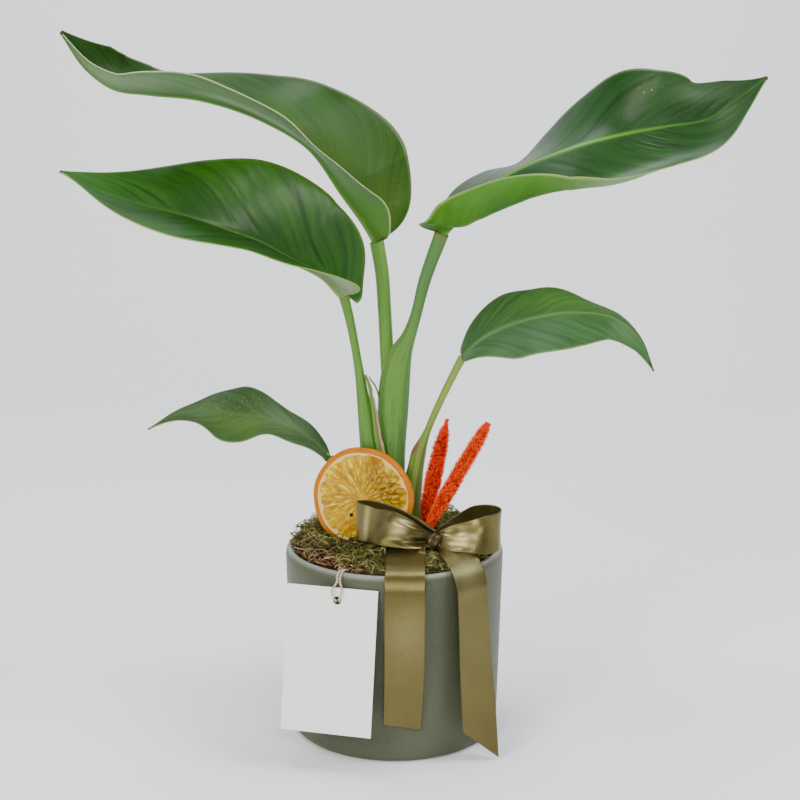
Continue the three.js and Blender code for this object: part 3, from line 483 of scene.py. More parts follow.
def add_twine():
    eye = np.array(TWINE_EYE) + np.array([*TAG_HOLE, 0.0])
    eye = turned(eye, ("z", TAG_ROLL), ("x", 90 - TAG_LEAN), ("z", TAG_TURN)) + np.array(TAG_CENTRE)
    route = np.vstack([TWINE_DOWN, eye, TWINE_BACK])
    line = centripetal_curve(route, 420)
    one, other = frames_along(line)
    run = np.concatenate([[0], np.cumsum(steps_along(line))])
    strand = TWINE_DIAMETER * 0.27
    parts = []
    for ply in range(TWINE_PLIES):
        angle = TURN * (run / TWINE_PITCH + ply / TWINE_PLIES)
        offset = way_round(angle[:, None], one, other)
        wander = 1 + 0.12 * np.sin(run * 1.7 + ply * 2.1) + 0.08 * np.sin(run * 4.3 + ply)
        parts.append((*tube(line + strand * 0.9 * offset, strand * wander, 9), {}))
    random = np.random.default_rng(TWINE_SEED)
    for _ in range(TWINE_HAIRS):
        k = random.integers(6, len(line) - 6)
        away = way_round(random.uniform(0, TURN), one[k], other[k])
        lean = unit(line[k + 5] - line[k - 5]) * random.choice([-1, 1])
        start = line[k] + away * TWINE_DIAMETER * 0.42
        reach = random.uniform(0.3, 1.0)
        middle = start + reach * 0.5 * (away * 0.5 + lean * 0.9)
        end = start + reach * (away * random.uniform(0.5, 0.9) + lean * random.uniform(0.3, 0.9))
        parts.append((*tube([start, middle, end], [0.045, 0.035, 0.015], 3), {}))
    twine = add_piece("tag_twine_plies", *joined(parts), [twine_material()], ["tag_twine"], "twine")


add_twine()
add_backdrop()
add_studio()


# The ceramic pot

POT_RADIUS = 70
POT_FOOT_RADIUS = 67
POT_HEIGHT = 122.5
POT_WALL = 4
POT_SHOULDER_HEIGHT = 6
POT_SHOULDER_WIDTH = 3
POT_FOOT_ROUND = 5
POT_FLOOR = 8
POT_SIDES = 200
POT_SIDE_STEPS = 24


def arc_points(centre, radii, start, end, steps):
    angles = np.radians(np.linspace(start, end, steps + 1))
    return [(centre[0] + radii[0] * math.cos(a), centre[1] + radii[1] * math.sin(a)) for a in angles]


def pot_profile():
    """From the middle of the foot out, up the side, over the rim and down inside."""
    foot = (POT_FOOT_RADIUS - POT_FOOT_ROUND, POT_FOOT_ROUND)
    shoulder = (POT_RADIUS - POT_SHOULDER_WIDTH, POT_HEIGHT - POT_SHOULDER_HEIGHT)
    widening = POT_RADIUS - POT_FOOT_RADIUS
    lip, high, middle, low = (POT_FOOT_RADIUS + widening * height / POT_HEIGHT - POT_WALL
        for height in (POT_HEIGHT, 90, 50, POT_FLOOR))
    rising = [k / POT_SIDE_STEPS for k in range(1, POT_SIDE_STEPS)]
    return [
        (0, 0), (30, 0), (foot[0] - 3, 0),
        *arc_points(foot, (POT_FOOT_ROUND, POT_FOOT_ROUND), -90, 0, 8),
        *[(POT_FOOT_RADIUS + widening * k, foot[1] + (shoulder[1] - foot[1]) * k) for k in rising],
        *arc_points(shoulder, (POT_SHOULDER_WIDTH, POT_SHOULDER_HEIGHT), 0, 80, 12),
        (lip + 0.35, POT_HEIGHT - 0.12), (lip, POT_HEIGHT - 0.5), (lip - 0.05, POT_HEIGHT - 1.2),
        (high, 90), (middle, 50), (low, POT_FLOOR + 6), (low - 5, POT_FLOOR), (0, POT_FLOOR),
    ]


def glaze_material():
    """Matt sage glaze: faint throwing rings, a few pinholes and a thin paler band along the lip, a painted
    highlight.
    """
    shade = Shade("sage_glaze", roughness=0.5, specular_ior_level=0.3, coat_weight=0.08, coat_roughness=0.25)
    cloud = shade.noise(14.0, detail=4.0)
    grain = shade.noise(620.0)
    squeezed = shade.node("VectorMath", 0, {0: shade.place, 1: (18, 18, 420)}, operation="MULTIPLY")
    rings = shade.noise(1.0, detail=3.0, where=squeezed)
    pits = shade.cells(260.0).between(0.16, 0.08) * shade.noise(60.0).between(0.56, 0.62)
    lip = shade.field("lip")
    shade.paint(
        "474b37", (cloud.between(0.35, 0.7), "4d513d"), (grain.between(0.45, 0.75) * 0.35, "5a5f4a"),
        # The pale band along the lip is a painted highlight.
        (pits * 0.7, "3a3f30"), (lip * 0.6, "a8aca0"),
        roughness=0.46 + 0.12 * grain - 0.2 * lip,
    )
    return shade.bump(0.5 * rings + 0.25 * grain - 0.6 * pits, 0.00012)


def add_pot():
    profile = np.array(pot_profile(), float)
    angles = round_angles(POT_SIDES)
    radius, height = profile[1:-1, 0], profile[1:-1, 1]
    wobble = 0.12 * np.sin(2 * angles + 0.4) + 0.07 * np.sin(5 * angles + 1.1)
    reach = radius[:, None] + wobble * smooth_step(height, 0, 30)[:, None]
    x, y = reach * np.cos(angles), reach * np.sin(angles)
    rings = np.stack([x, y, np.broadcast_to(height[:, None], x.shape)], -1).reshape(-1, 3)
    points = np.vstack([rings, [0, 0, profile[0, 1]], [0, 0, profile[-1, 1]]])
    faces = grid_faces(len(radius), POT_SIDES, around=True, flip=True)
    faces += fan_faces(0, POT_SIDES, len(rings), flip=True)
    faces += fan_faces(len(rings) - POT_SIDES, POT_SIDES, len(rings) + 1)
    # A ring round the top of the rim, where the glaze has its painted highlight.
    lip = bell((points[:, 2] - POT_HEIGHT) / 1.8) * (np.hypot(points[:, 0], points[:, 1]) > 60)
    add_piece("pot_body", points, faces, {"lip": lip}, [glaze_material()], ["ceramic_pot"], "pot_glaze")


def soil_material():
    """Only the soil's grain shows, between the moss and the rim."""
    shade = Shade("potting_soil_grain", roughness=0.95)
    grain = shade.noise(520.0, detail=5.0, roughness=0.7)
    clods = shade.cells(220.0)
    shade.paint("2c2018", (grain.between(0.4, 0.7), "4b3727"), (clods.between(0.3, 0.7) * 0.5, "1b130e"))
    return shade.bump(grain + 0.6 * clods, 0.0012)


add_pot()
dress("potting_soil", soil_material())


# Leaf stalks. Each row is a centre point, a half width and a half depth.

STALKS = {
    "upper_left": [
        (0, 1, 96, 4.2, 4.2), (0, 1, 130, 4.1, 4), (-1, 3, 190, 4.3, 3.9), (-4.2, 8, 235, 4.4, 3.9),
        (-6, 11, 270, 4.3, 3.8), (-8, 13, 298, 4.4, 3.8), (-11, 14, 316, 4.6, 3.8),
    ],
    "upper_right": [
        (0.5, 0, 96, 8.6, 8), (0, 0, 130, 8.2, 8), (-1.2, 0.2, 180, 8.2, 7.6), (-0.7, 0.6, 212, 9.8, 7.4),
        (1, 1.2, 233, 9.3, 6.6), (4.2, 0.2, 247, 7.2, 5.2), (9, -2, 258, 4.6, 4.2),
        (12.4, -3.4, 268, 3.7, 3.7), (19, -5, 294, 3.9, 3.7), (29.5, -8, 324, 4.6, 3.8),
    ],
    "left": [
        (-6, -1, 96, 11, 10.4), (-8, -1.4, 130, 10, 9.6), (-12.4, -3, 170, 7.8, 7.4),
        (-15.4, -4.4, 188, 6.4, 6), (-18.6, -6.4, 212, 4.6, 4.4), (-21.6, -8, 235, 3, 3),
        (-28, -12, 273, 2.9, 2.9), (-31, -14, 286, 3.3, 3),
    ],
    "right": [
        (6, -1, 96, 10.4, 10), (8, -1.6, 130, 9, 8.8), (11.8, -3.4, 162, 6.2, 6), (14.2, -4.8, 177, 5, 4.8),
        (15.6, -5.6, 184, 4.7, 4.6), (18, -7, 191, 3.3, 3.6), (20.6, -8.8, 198, 2.3, 2.7),
        (24.4, -10.6, 208, 2.2, 2.4), (32, -14, 226, 2.3, 2.4), (42.2, -19, 248.3, 2.6, 2.5),
    ],
    "lower_left": [
        (-16, -5, 96, 5.6, 5), (-18, -4, 128, 4.4, 4.2), (-24.4, -3, 147.7, 3, 3),
        (-32.6, -2.4, 165.6, 2.4, 2.4), (-41.6, -2, 180, 2.6, 2.4),
    ],
}
STALK_GAP = 0.3
STALK_STEPS = 110
STALK_SIDES = 44
STALK_RIBS = 11

# For each stalk: its light and its dark green, then marks, placed across by degrees round
# from the viewer's right. A "dark" mark is painted shade.
STALK_LOOKS = {
    "upper_left": ("6c9c40", "55862f", [("dry", 0.995, -20, 0.012, 40, 0.6)]),
    "upper_right": ("5c8634", "44722e", [
        ("cool", 0.3, 2, 0.4, 34, 1.0), ("cool", 0.9, 210, 0.14, 100, 0.6),
        ("spot", 0.45, -130, 0.2, 40, 0.6), ("dry", 0.63, 178, 0.05, 26, 0.62),
        ("dry", 0.99, -90, 0.02, 80, 0.5),
    ]),
    "left": ("5c8832", "44742a", [("cool", 0.12, -90, 0.12, 70, 0.6), ("dry", 0.99, -90, 0.016, 90, 0.5)]),
    "right": ("869a40", "56782c", [
        ("dark", 0.12, -60, 0.2, 70, 0.8), ("dry", 0.575, 190, 0.035, 60, 0.9),
        ("dry", 0.99, -90, 0.02, 90, 0.4),
    ]),
    "lower_left": ("5f8650", "38603a", [("dry", 0.99, -90, 0.02, 90, 0.4)]),
}


def stalk_material(name, light, dark):
    """Fibrous green skin: pale and dark stripes along it, waxy bloom, and drying brown where
    the marks say so."""
    shade = Shade(name + "_skin", roughness=0.42, specular_ior_level=0.25, coat_weight=0.08,
        coat_roughness=0.35, subsurface_weight=0.08, subsurface_radius=(0.004, 0.006, 0.002),
        subsurface_scale=0.4)
    run, turn, cool, dry, shadow, spot = shade.fields("run turn cool dry dark spot")
    stripe = shade.bands(run * 0.05, turn * 3.2, 0.0, detail=4.0, roughness=0.65)
    broad = shade.bands(run * 0.012, turn * 1.1, 4.0)
    fleck = shade.noise(900.0)
    spots = shade.noise(480.0, detail=1.0).between(0.66, 0.7)
    shade.paint(
        light,
        (broad.between(0.35, 0.65), dark),
        (stripe.between(0.5, 0.68) * 0.35, "7ca048"),
        (stripe.between(0.45, 0.3) * 0.35, "35592c"),
        (cool * 0.75, "345a48"),
        (shadow * 0.7, "34562a"),
        (fleck.between(0.66, 0.78) * 0.2, "a5bd80"),
        (spots * spot, "5c4a20"),
        ((dry * (0.6 + 0.8 * stripe)).between(0.35, 0.6), "7c5c38"),
        roughness=0.36 + 0.2 * stripe,
    )
    return shade.bump(0.7 * stripe + 0.3 * fleck, 0.00015)


def add_stalk(name):
    shares = np.linspace(0, 1, STALK_STEPS + 1)
    angle = round_angles(STALK_SIDES)
    path = path_through(STALKS[name])
    row, along = path(shares), direction_along(path, shares)
    width_way = unit(np.array([1.0, 0, 0]) - along * along[:, :1])
    depth_way = np.cross(along, width_way)
    centre = row[:, :3].copy()
    centre[-1] -= along[-1] * STALK_GAP
    offset = (row[:, 3:4] * np.cos(angle))[..., None] * width_way[:, None]
    offset = offset + (row[:, 4:5] * np.sin(angle))[..., None] * depth_way[:, None]
    offset = offset + unit(offset) * (0.025 * np.cos(STALK_RIBS * angle))[None, :, None]
    points = (centre[:, None] + offset).reshape(-1, 3)
    share = np.repeat(shares, STALK_SIDES)
    turn = np.tile(np.degrees(angle), len(shares))
    light, dark, marks = STALK_LOOKS[name]
    fields = mark_fields("cool dry dark spot", marks, share, turn, wrap=True)
    fields["run"] = share * steps_along(centre).sum()
    fields["turn"] = np.abs((turn - 90) % 360 - 180) / 57.3 * 3
    node = f"leaf_{name}_stalk"
    faces = rod_faces(len(shares), STALK_SIDES)
    materials = [stalk_material(node, light, dark)]
    add_piece(node + "_fibrous", points, faces, fields, materials, [node], "leaf_stalk")


for stalk_name in STALKS:
    add_stalk(stalk_name)


# The left stalk's sheath ends in a free margin: each row is where the sheet leaves the
# stalk's front, then its free edge. Behind it the other margin runs as a dry brown cord.
SHEATH_ROWS = [
    (-18.6, -11.0, 235.2, -17.7, -10.2, 235.6), (-16.6, -11.8, 228.8, -14.4, -10.2, 228.8),
    (-15.4, -12.2, 221.7, -13.0, -10.6, 221.7), (-14.4, -12.4, 215.3, -11.4, -10.6, 215.3),
    (-13.6, -12.2, 207.2, -10.0, -10.2, 207.2), (-12.6, -11.8, 196.5, -8.4, -9.6, 196.5),
    (-11.4, -11.4, 188.7, -6.5, -9.2, 188.7), (-10.4, -11.2, 182.0, -5.0, -9.0, 182.0),
]
SHEATH_BACK = [(-15.9, -1, 232.5), (-14.6, -1, 230), (-12.1, -1, 226.4), (-10.4, -1, 221.9),
    (-9.4, -1, 216.4)]
SHEATH_HALF_THICKNESS = 0.24
SHEATH_LENGTH = 55


def sheath_margin_material():
    """Green skin that dries through a red-brown line into a cream papery margin."""
    shade = Shade("sheath_margin_skin", roughness=0.6, specular_ior_level=0.2)
    across, run = shade.fields("across run")
    fray = shade.bands(across * 1.0, run * 0.25, 0.0, detail=4.0)
    fine = shade.noise(800.0, detail=3.0)
    edge = across + (fray - 0.5) * 0.25
    shade.paint(
        "5e8a34",
        (fine.between(0.4, 0.7) * 0.4, "4a7a2c"),
        (edge.between(0.4, 0.6), "7a4a34"),
        (edge.between(0.58, 0.7), "b89a7c"),
        (edge.between(0.7, 1.0) * fine.between(0.4, 0.7) * 0.5, "dcc6b0"),
    )
    return shade.bump(fray + fine, 0.0003)


def add_sheath_margin():
    share, c = np.linspace(0, 1, 60), np.linspace(0, 1, 14)
    path = smooth_through(np.linspace(0, 1, len(SHEATH_ROWS)), SHEATH_ROWS)(share)
    grid = path[:, None, :3] * (1 - c)[None, :, None] + path[:, None, 3:] * c[None, :, None]
    grid[..., 1] -= 0.7 * np.sin(np.pi * c)[None, :]
    grid[..., 0] += 0.18 * np.sin(40 * share)[:, None] * c[None, :] ** 2
    half = np.full(grid.shape[:2], SHEATH_HALF_THICKNESS)
    run = np.repeat(share * SHEATH_LENGTH, len(c))
    fields = {"across": np.tile(c, 2 * len(share)), "run": np.tile(run, 2)}
    line = centripetal_curve(SHEATH_BACK, 40)
    cord = tube(line, 0.3 + 0.25 * np.sin(np.pi * np.linspace(0, 1, len(line))), 10)
    parts = [(*slab_over(grid, half, half)[:2], fields), (*cord, {"across": 0.5, "run": cord[0][:, 2]})]
    add_piece("leaf_left_sheath_margin", *joined(parts), [sheath_margin_material()], (), "leaf_stalk")


add_sheath_margin()


# Leaf blades. The rib is a row of points from the stalk to the tip. Each row of the fold
# is: share of the way along, angle of the near half at the rib, its further turn by the
# margin, its width against the leaf's plain outline, and the same for the far half. An
# angle of 0 points level towards the front, 90 up, 180 level towards the back.
# "pleats" is how many strong side veins a half would have over the whole length, and
# "depth" is how far they sink in. Marks go across from -1 at the near margin to 1 at the
# far one. A "shade" mark is painted shade, a "warm" mark paints light shining through the
# blade, a "cool" mark a painted grey sheen, and a "pale" mark the waxy bloom with a
# painted sheen on it.

BLADES = {
    "upper_left": {
        "rib": [
            (-11.2, 14.2, 316.4), (-19, 13, 329), (-30.5, 10, 345), (-53, 5, 376), (-79, 0, 392),
            (-118.5, -5, 405), (-148, -10, 408), (-168, -13, 411), (-182, -16, 421), (-197, -20, 444),
        ],
        "near_width": 46, "far_width": 50, "lobe": 0.2, "wave": 1.2,
        "fold": [
            (0, 30, 0, 1, 84, 10, 1.04), (0.12, 20, 0, 1, 88, 6, 1.16), (0.22, 8, 0, 1, 98, 12, 1.12),
            (0.32, 0, 0, 1, 112, 16, 0.9), (0.42, 8, 0, 1, 138, 16, 0.94), (0.55, 18, 0, 1, 154, 4, 0.96),
            (0.7, 26, 0, 1, 154, 0, 0.96), (0.85, 26, 0, 1, 118, 0, 1.3), (0.93, 20, 0, 1, 104, 0, 1.8),
            (1, 10, 0, 1, 100, 0, 1.8),
        ],
        "pleats": 22, "depth": 0.5, "gloss": 0.5, "rib_tint": "5c8a30", "edge_tint": "b4ba8c",
        "inner": ("1b390c", "274c11", "0f2607"), "under": ("2a5810", "3e6e26", "226002"),
        "marks": [
            ("warm", 0.05, -0.6, 0.14, 1, 1), ("warm", 0.2, -0.5, 0.16, 0.9, 0.7),
            ("warm", 0.36, -0.2, 0.1, 0.5, 0.5), ("warm", 0.5, -0.6, 0.1, 0.3, 0.5),
            ("warm", 0.16, 0.6, 0.08, 0.5, 0.12), ("cool", 0.3, 0.45, 0.14, 0.3, 0.5),
            ("pale", 0.8, -0.6, 0.16, 0.5, 0.4), ("pale", 0.5, -0.3, 0.14, 0.12, 0.35),
            ("worn", 0.78, -0.9, 0.04, 0.16, 1), ("shade", 0.73, -0.62, 0.012, 0.08, 0.9),
            ("shade", 0.3, 0.12, 0.16, 0.14, 0.8), ("dry", 0, -0.8, 0.01, 0.3, 0.8),
        ],
    },
    "left": {
        "rib": [
            (-31.4, -14.2, 286.4), (-44, -15, 299), (-60.5, -16, 307.5), (-83, -18, 320),
            (-99, -20, 326), (-121, -22, 334), (-162, -26, 346), (-199, -30, 363),
        ],
        "near_width": 44, "far_width": 47, "lobe": 0.45, "hang": 9, "wave": 1,
        "fold": [
            (0, 40, 10, 1, 100, 10, 0.52), (0.04, 30, 8, 1, 98, 10, 0.64), (0.1, 14, 0, 1, 94, 6, 0.95),
            (0.2, 6, 0, 1, 92, 12, 1.05), (0.3, -2, 0, 1, 92, 16, 1.04), (0.5, -8, 0, 1, 110, 24, 1),
            (0.7, -18, 0, 1, 130, 16, 1), (0.85, -18, 0, 1, 138, 6, 1), (1, -10, 0, 1, 140, 0, 1),
        ],
        "pleats": 13, "depth": 0.7, "gloss": 1.3, "rib_tint": "426a26", "edge_tint": "90a050",
        "inner": ("1e4e0a", "32680e", "103206"), "under": ("5e784c", "748e62", "3c6c0c"),
        "marks": [
            ("shade", 0.3, 0.1, 0.2, 0.25, 0.5), ("shade", 0.6, -0.4, 0.34, 0.5, 0.8),
            ("shade", 0.1, 0.7, 0.12, 0.5, 0.5), ("cool", 0.45, -0.6, 0.25, 0.5, 0.1),
            ("pale", 0.04, -0.7, 0.06, 0.4, 0.5), ("warm", 0.05, -0.95, 0.04, 0.15, 0.6),
        ],
    },
    "upper_right": {
        "rib": [
            (29.8, -8, 324.5), (46, -10, 341), (66, -12, 358), (104, -14, 375), (142, -16, 385),
            (164, -18, 389), (186, -20, 393), (204, -22, 405), (221, -24, 418),
        ],
        "near_width": 46, "far_width": 47, "lobe": 0.6, "crease": (0.35, 0.8), "wave": 1.2,
        "fold": [
            (0, 20, 80, 1, 166, 0, 1), (0.06, -45, 140, 1.2, 166, 0, 1.1),
            (0.12, -45, 156, 1.34, 163, 0, 1.1), (0.2, -50, 190, 1.22, 170, 0, 1.08),
            (0.28, -52, 200, 1.05, 179, 0, 0.9),
            (0.38, -50, 165, 1, 167, 0, 0.88), (0.5, -58, 130, 1, 142, 10, 0.95),
            (0.62, -62, 100, 1, 106, 20, 1.05), (0.78, -66, 40, 1, 92, 16, 1.08),
            (0.9, -62, 0, 1, 96, 10, 1.2), (1, -60, 0, 1, 120, 0, 1),
        ],
        "pleats": 12, "depth": 0.35, "gloss": 0.8, "rib_tint": "5c9420", "edge_tint": "8ca058",
        "rib_end": (0.5, 0.85),
        "inner": ("16380e", "204a16", "0d2809"), "under": ("34640a", "44761a", "2c6004"),
        "marks": [
            ("cool", 0.4, 0.6, 0.12, 0.5, 0.35), ("cool", 0.7, -0.9, 0.15, 0.3, 0.5),
            ("pale", 0.55, -0.85, 0.12, 0.2, 0.5), ("pale", 0.8, 0.65, 0.06, 0.2, 0.25),
            ("worn", 0.67, -0.28, 0.05, 0.25, 0.18), ("worn", 0.86, 0.05, 0.03, 0.25, 0.2),
            ("fleck", 0.66, 0.63, 0.01, 0.06, 1), ("shade", 0.2, -0.6, 0.06, 0.2, 0.5),
            ("dry", 0, -0.9, 0.008, 0.3, 0.7),
        ],
    },
    "right": {
        "rib": [
            (42.5, -19.1, 248.7), (52.6, -22, 259), (66, -24, 267), (89, -28, 275), (112, -30, 278),
            (135, -32, 274), (149, -34, 262), (158, -36, 243),
        ],
        "near_width": 27, "far_width": 27, "lobe": 0.3, "wave": 1.2,
        "fold": [
            (0, -20, 0, 0.8, 140, 0, 0.8), (0.12, -32, 0, 0.8, 140, 0, 0.8), (0.26, -44, 0, 1, 138, 0, 1.02),
            (0.36, -46, 0, 1, 140, 0, 0.88), (0.48, -46, 0, 1, 142, 0, 0.76), (0.6, -44, 0, 1, 150, 0, 0.56),
            (0.8, -42, 0, 1, 154, 0, 0.26), (1, -40, 0, 1, 150, 0, 0.26),
        ],
        "pleats": 15, "depth": 0.25, "gloss": 0.5, "rib_tint": "5a7c44", "edge_tint": "7c9450",
        "inner": ("305428", "446a3a", "244420"), "under": ("4f6a3e", "647e54", "3c6c0c"),
        "marks": [
            ("cool", 0.3, -0.5, 0.2, 0.5, 0.45), ("cool", 0.1, 0.2, 0.1, 0.5, 0.3),
            ("warm", 0.5, 0.5, 0.2, 0.4, 0.25), ("pale", 0.85, -0.4, 0.1, 0.4, 0.2),
            ("dry", 0.98, 0, 0.03, 0.8, 0.8),
        ],
    },
    "lower_left": {
        "rib": [
            (-41.8, -2.1, 180.2), (-47.6, -3, 187), (-56.7, -5, 195.5), (-69.9, -7, 202), (-83, -9, 207),
            (-99.3, -11, 210), (-116.5, -13, 213), (-135.7, -15, 211), (-153.9, -17, 202),
        ],
        "near_width": 23, "far_width": 24, "lobe": 0.2, "wave": 1.4,
        "fold": [
            (0, -30, 0, 0.5, 134, 0, 0.4), (0.1, -32, 0, 0.5, 134, 0, 0.4), (0.2, -34, 0, 0.5, 134, 0, 0.46),
            (0.36, -36, 0, 0.55, 134, 0, 0.64), (0.52, -36, 0, 1, 136, 0, 0.94),
            (0.62, -36, 0, 1.15, 138, 0, 0.86), (0.76, -34, 0, 0.75, 142, 0, 0.42),
            (0.88, -30, 0, 0.6, 146, 0, 0.3), (1, -30, 0, 0.6, 146, 0, 0.3),
        ],
        "pleats": 16, "depth": 0.25, "gloss": 0.5, "rib_tint": "4e6e3c", "edge_tint": "7c9450",
        "inner": ("324e2a", "48623e", "203a1a"), "under": ("4f6a3e", "647e54", "3c6c0c"),
        "marks": [
            ("pale", 0.3, 0.2, 0.12, 0.5, 0.3), ("pale", 0.75, 0.3, 0.15, 0.5, 0.25),
            ("warm", 0.5, -0.4, 0.2, 0.5, 0.3), ("fleck", 0.55, 0.3, 0.25, 0.6, 0.2),
            ("shade", 0.5, -0.6, 0.2, 0.3, 0.5), ("dry", 0.99, 0, 0.02, 0.8, 0.8),
        ],
    },
}

BLADE_ROWS = 190
BLADE_COLUMNS = 57
BLADE_SLICES = 10
BLADE_WIDEST = 0.4
BLADE_BASE_WIDTH = 0.09
BLADE_TIP_WIDTH = 0.02
BLADE_CURL_POWER = 2.2
BLADE_WAVES = 3
CREASE_REACH = 0.35
HANG_REACH = 0.15
RIB_DEPTH_AT_BASE = 2.6
RIB_DEPTH_AT_TIP = 0.3
RIB_HALF_WIDTH = 2.4
RIB_GROOVE = 0.55
VEIN_LEAN = 0.3
GROOVE_WIDTH = 0.11
BLADE_HALF_THICKNESS = 0.36
MARGIN_HALF_THICKNESS = 0.2
MARGIN_LINE = 0.32
MARK_FIELDS = "warm cool pale worn dry shade fleck"


def blade_outline(t):
    """Share of the full half width: a rounded base, then a long taper to the tip."""
    left = np.clip(1 - t / BLADE_WIDEST, 0, 1)
    near = BLADE_BASE_WIDTH + (1 - BLADE_BASE_WIDTH) * np.sqrt(1 - left**2.2)
    beyond = np.clip((t - BLADE_WIDEST) / (1 - BLADE_WIDEST), 0, 1)
    far = BLADE_TIP_WIDTH + (1 - BLADE_TIP_WIDTH) * (1 - beyond**1.8) ** 1.15
    return np.where(t < BLADE_WIDEST, near, far)


def fold_direction(along, degrees):
    """The way a half blade points at one angle: 0 level to the front, 90 up."""
    near = unit(np.stack([along[..., 1], -along[..., 0], 0 * along[..., 0]], -1))
    near = np.where(near[..., 1:2] > 0, -near, near)
    upward = unit(np.array([0, 0, 1.0]) - along * along[..., 2:3])
    return way_round(np.radians(degrees)[..., None], near, upward)


def turn_share(blade, t, far, reach):
    """How much of its turn a half blade has made at one share of the way to the margin. A
    creased half makes it about a line that lies further out as t rises."""
    curled = reach**BLADE_CURL_POWER
    if "crease" not in blade:
        return curled
    at_base, beyond = blade["crease"]
    middle = at_base + (beyond - at_base) * np.minimum(1, t / BLADE_WIDEST)
    return np.where(far, curled, smooth_step(reach, middle - CREASE_REACH, middle + CREASE_REACH))


def blade_grid(blade, tt, ss):
    """The blade's middle surface over shares along and across, and the half widths."""
    t = tt[:, 0]
    rib = path_through(blade["rib"])
    rows = np.asarray(blade["fold"], float)
    fold = smooth_through(rows[:, 0], rows)(t)
    far = ss >= 0
    reach = np.abs(ss)
    angle, turn, full = (np.where(far, fold[:, k + 3 : k + 4], fold[:, k : k + 1]) for k in (1, 2, 3))
    width = np.where(far, blade["far_width"], blade["near_width"]) * full * blade_outline(tt)
    along = np.repeat(direction_along(rib, t)[:, None], ss.shape[1], 1)
    grid = np.repeat(rib(t)[:, None, :3], ss.shape[1], 1)
    for i in range(BLADE_SLICES):
        middle = reach * (i + 0.5) / BLADE_SLICES
        way = fold_direction(along, angle + turn * turn_share(blade, tt, far, middle))
        grid += way * (width * reach / BLADE_SLICES)[..., None]
    margin = fold_direction(along, angle + turn * turn_share(blade, tt, far, reach) + 90)
    ripple = np.sin(TURN * BLADE_WAVES * tt + np.where(far, 2.4, 0.6))
    grid += margin * (blade["wave"] * reach**2 * ripple * blade_outline(tt))[..., None]
    back_sweep = blade["lobe"] * width * np.maximum(0, 1 - tt / BLADE_WIDEST) ** 2
    hang = np.where(far, blade.get("hang", 0) * np.maximum(0, 1 - tt / HANG_REACH) ** 2, 0)
    return grid - along * ((back_sweep + hang) * reach**2)[..., None], width


def blade_relief(blade, t, s, width):
    """How far the inner face stands up or sinks in: strong side veins as narrow grooves
    between soft ridges, a groove along the rib, and slow swells. Also the grooves alone and
    each point's place across the side veins."""
    reach = np.abs(s)
    vein = t - VEIN_LEAN * reach + 0.004 * np.sin(9 * t + 5 * s)
    phase = vein * blade["pleats"]
    apart = np.abs((phase + 0.5) % 1 - 0.5)
    groove = bell(apart / GROOVE_WIDTH) * smooth_step(reach, 0.03, 0.2) * (1 - smooth_step(reach, 0.86, 1.0))
    groove *= 0.55 + 0.45 * np.sin(1.7 * np.floor(phase + 0.5) + np.where(s < 0, 1.0, 0.0))
    groove *= smooth_step(t, 0.0, 0.08) * (1 - 0.6 * smooth_step(t, 0.7, 1.0))
    swell = 0.5 * np.cos(TURN * phase) * smooth_step(reach, 0.05, 0.35) * (1 - smooth_step(reach, 0.8, 1.0))
    slow = 0.5 * np.sin(7.3 * t + 2.2 * s) * np.sin(4.1 * s + 3 * t) * reach
    rib_groove = RIB_GROOVE * bell(reach * width / 1.3) * (1 - t)
    return blade["depth"] * (0.35 * swell - groove) + slow - rib_groove, groove, vein


def leaf_textures(shade):
    """What follows the side veins: fine uneven ridges, broad bands of light and dark, and
    scratches."""
    vein, across = shade.fields("vein across")
    waver = shade.bands(vein * 30.0, across * 2.0, 0.0)
    strength = shade.bands(vein * 14.0, across * 3.0, 7.0, detail=3.0).between(0.3, 0.7)
    coarse = (vein * 520.0 + waver * 7.0).sine() * strength
    fine = (vein * 1240.0 + waver * 16.0).sine()
    streak = shade.bands(vein * 26.0, across * 1.1, 3.0, detail=4.0, roughness=0.6)
    scratches = shade.bands(vein * 130.0, across * 2.5, 1.0, detail=5.0)
    fields = shade.fields(MARK_FIELDS + " rib edge groove")
    return coarse * 0.28 + fine * 0.16 + 0.5, streak, scratches, fields


def inner_face_material(name, blade):
    """The glossy upper face of a leaf: fine side veins, grooves painted dark as painted shade, a
    pale rib, a cream margin and the marks, some of them painted light and shade."""
    deep, light, dark = blade["inner"]
    gloss = blade["gloss"]
    shade = Shade(name + "_face", roughness=0.36, specular_ior_level=0.2 * gloss, coat_weight=0.09 * gloss,
        coat_roughness=0.2)
    veins, streak, scratches, fields = leaf_textures(shade)
    warm, cool, pale, worn, dry, shaded, fleck, rib, edge, groove = fields
    cloud = shade.noise(26.0, detail=4.0)
    fine = shade.noise(700.0, detail=3.0)
    flecks = shade.cells(420.0).between(0.3, 0.14)
    shade.paint(
        deep,
        (cloud.between(0.35, 0.65) * 0.6, light),
        (streak.between(0.48, 0.66) * 0.75, light),
        (streak.between(0.48, 0.32) * 0.75, dark),
        (veins * 0.3, light),
        # Painted shade in the grooves of the strong side veins.
        (groove * 0.75, dark),
        # From the marks: painted shade, painted light shining through the blade, a painted grey sheen, and a
        # painted sheen on the waxy bloom.
        (shaded * 0.8, dark),
        (warm * (0.6 + 0.5 * veins), "6f9a2e"),
        (cool * 0.8, "445c48"),
        (pale * (0.2 + 0.7 * streak), "8fa880"),
        (worn * scratches.between(0.5, 0.66), "a8bc9c"),
        (fleck * flecks, "b9bf5c"),
        (fine.between(0.6, 0.8) * 0.08, "8fae7c"),
        (rib, blade["rib_tint"]),
        (edge, blade["edge_tint"]),
        ((dry * (0.5 + fine)).between(0.3, 0.6), "4a3a20"),
        roughness=0.26 + 0.22 * fine + 0.06 * veins,
    )
    return shade.bump(0.5 * veins + 0.25 * fine, 0.0001)


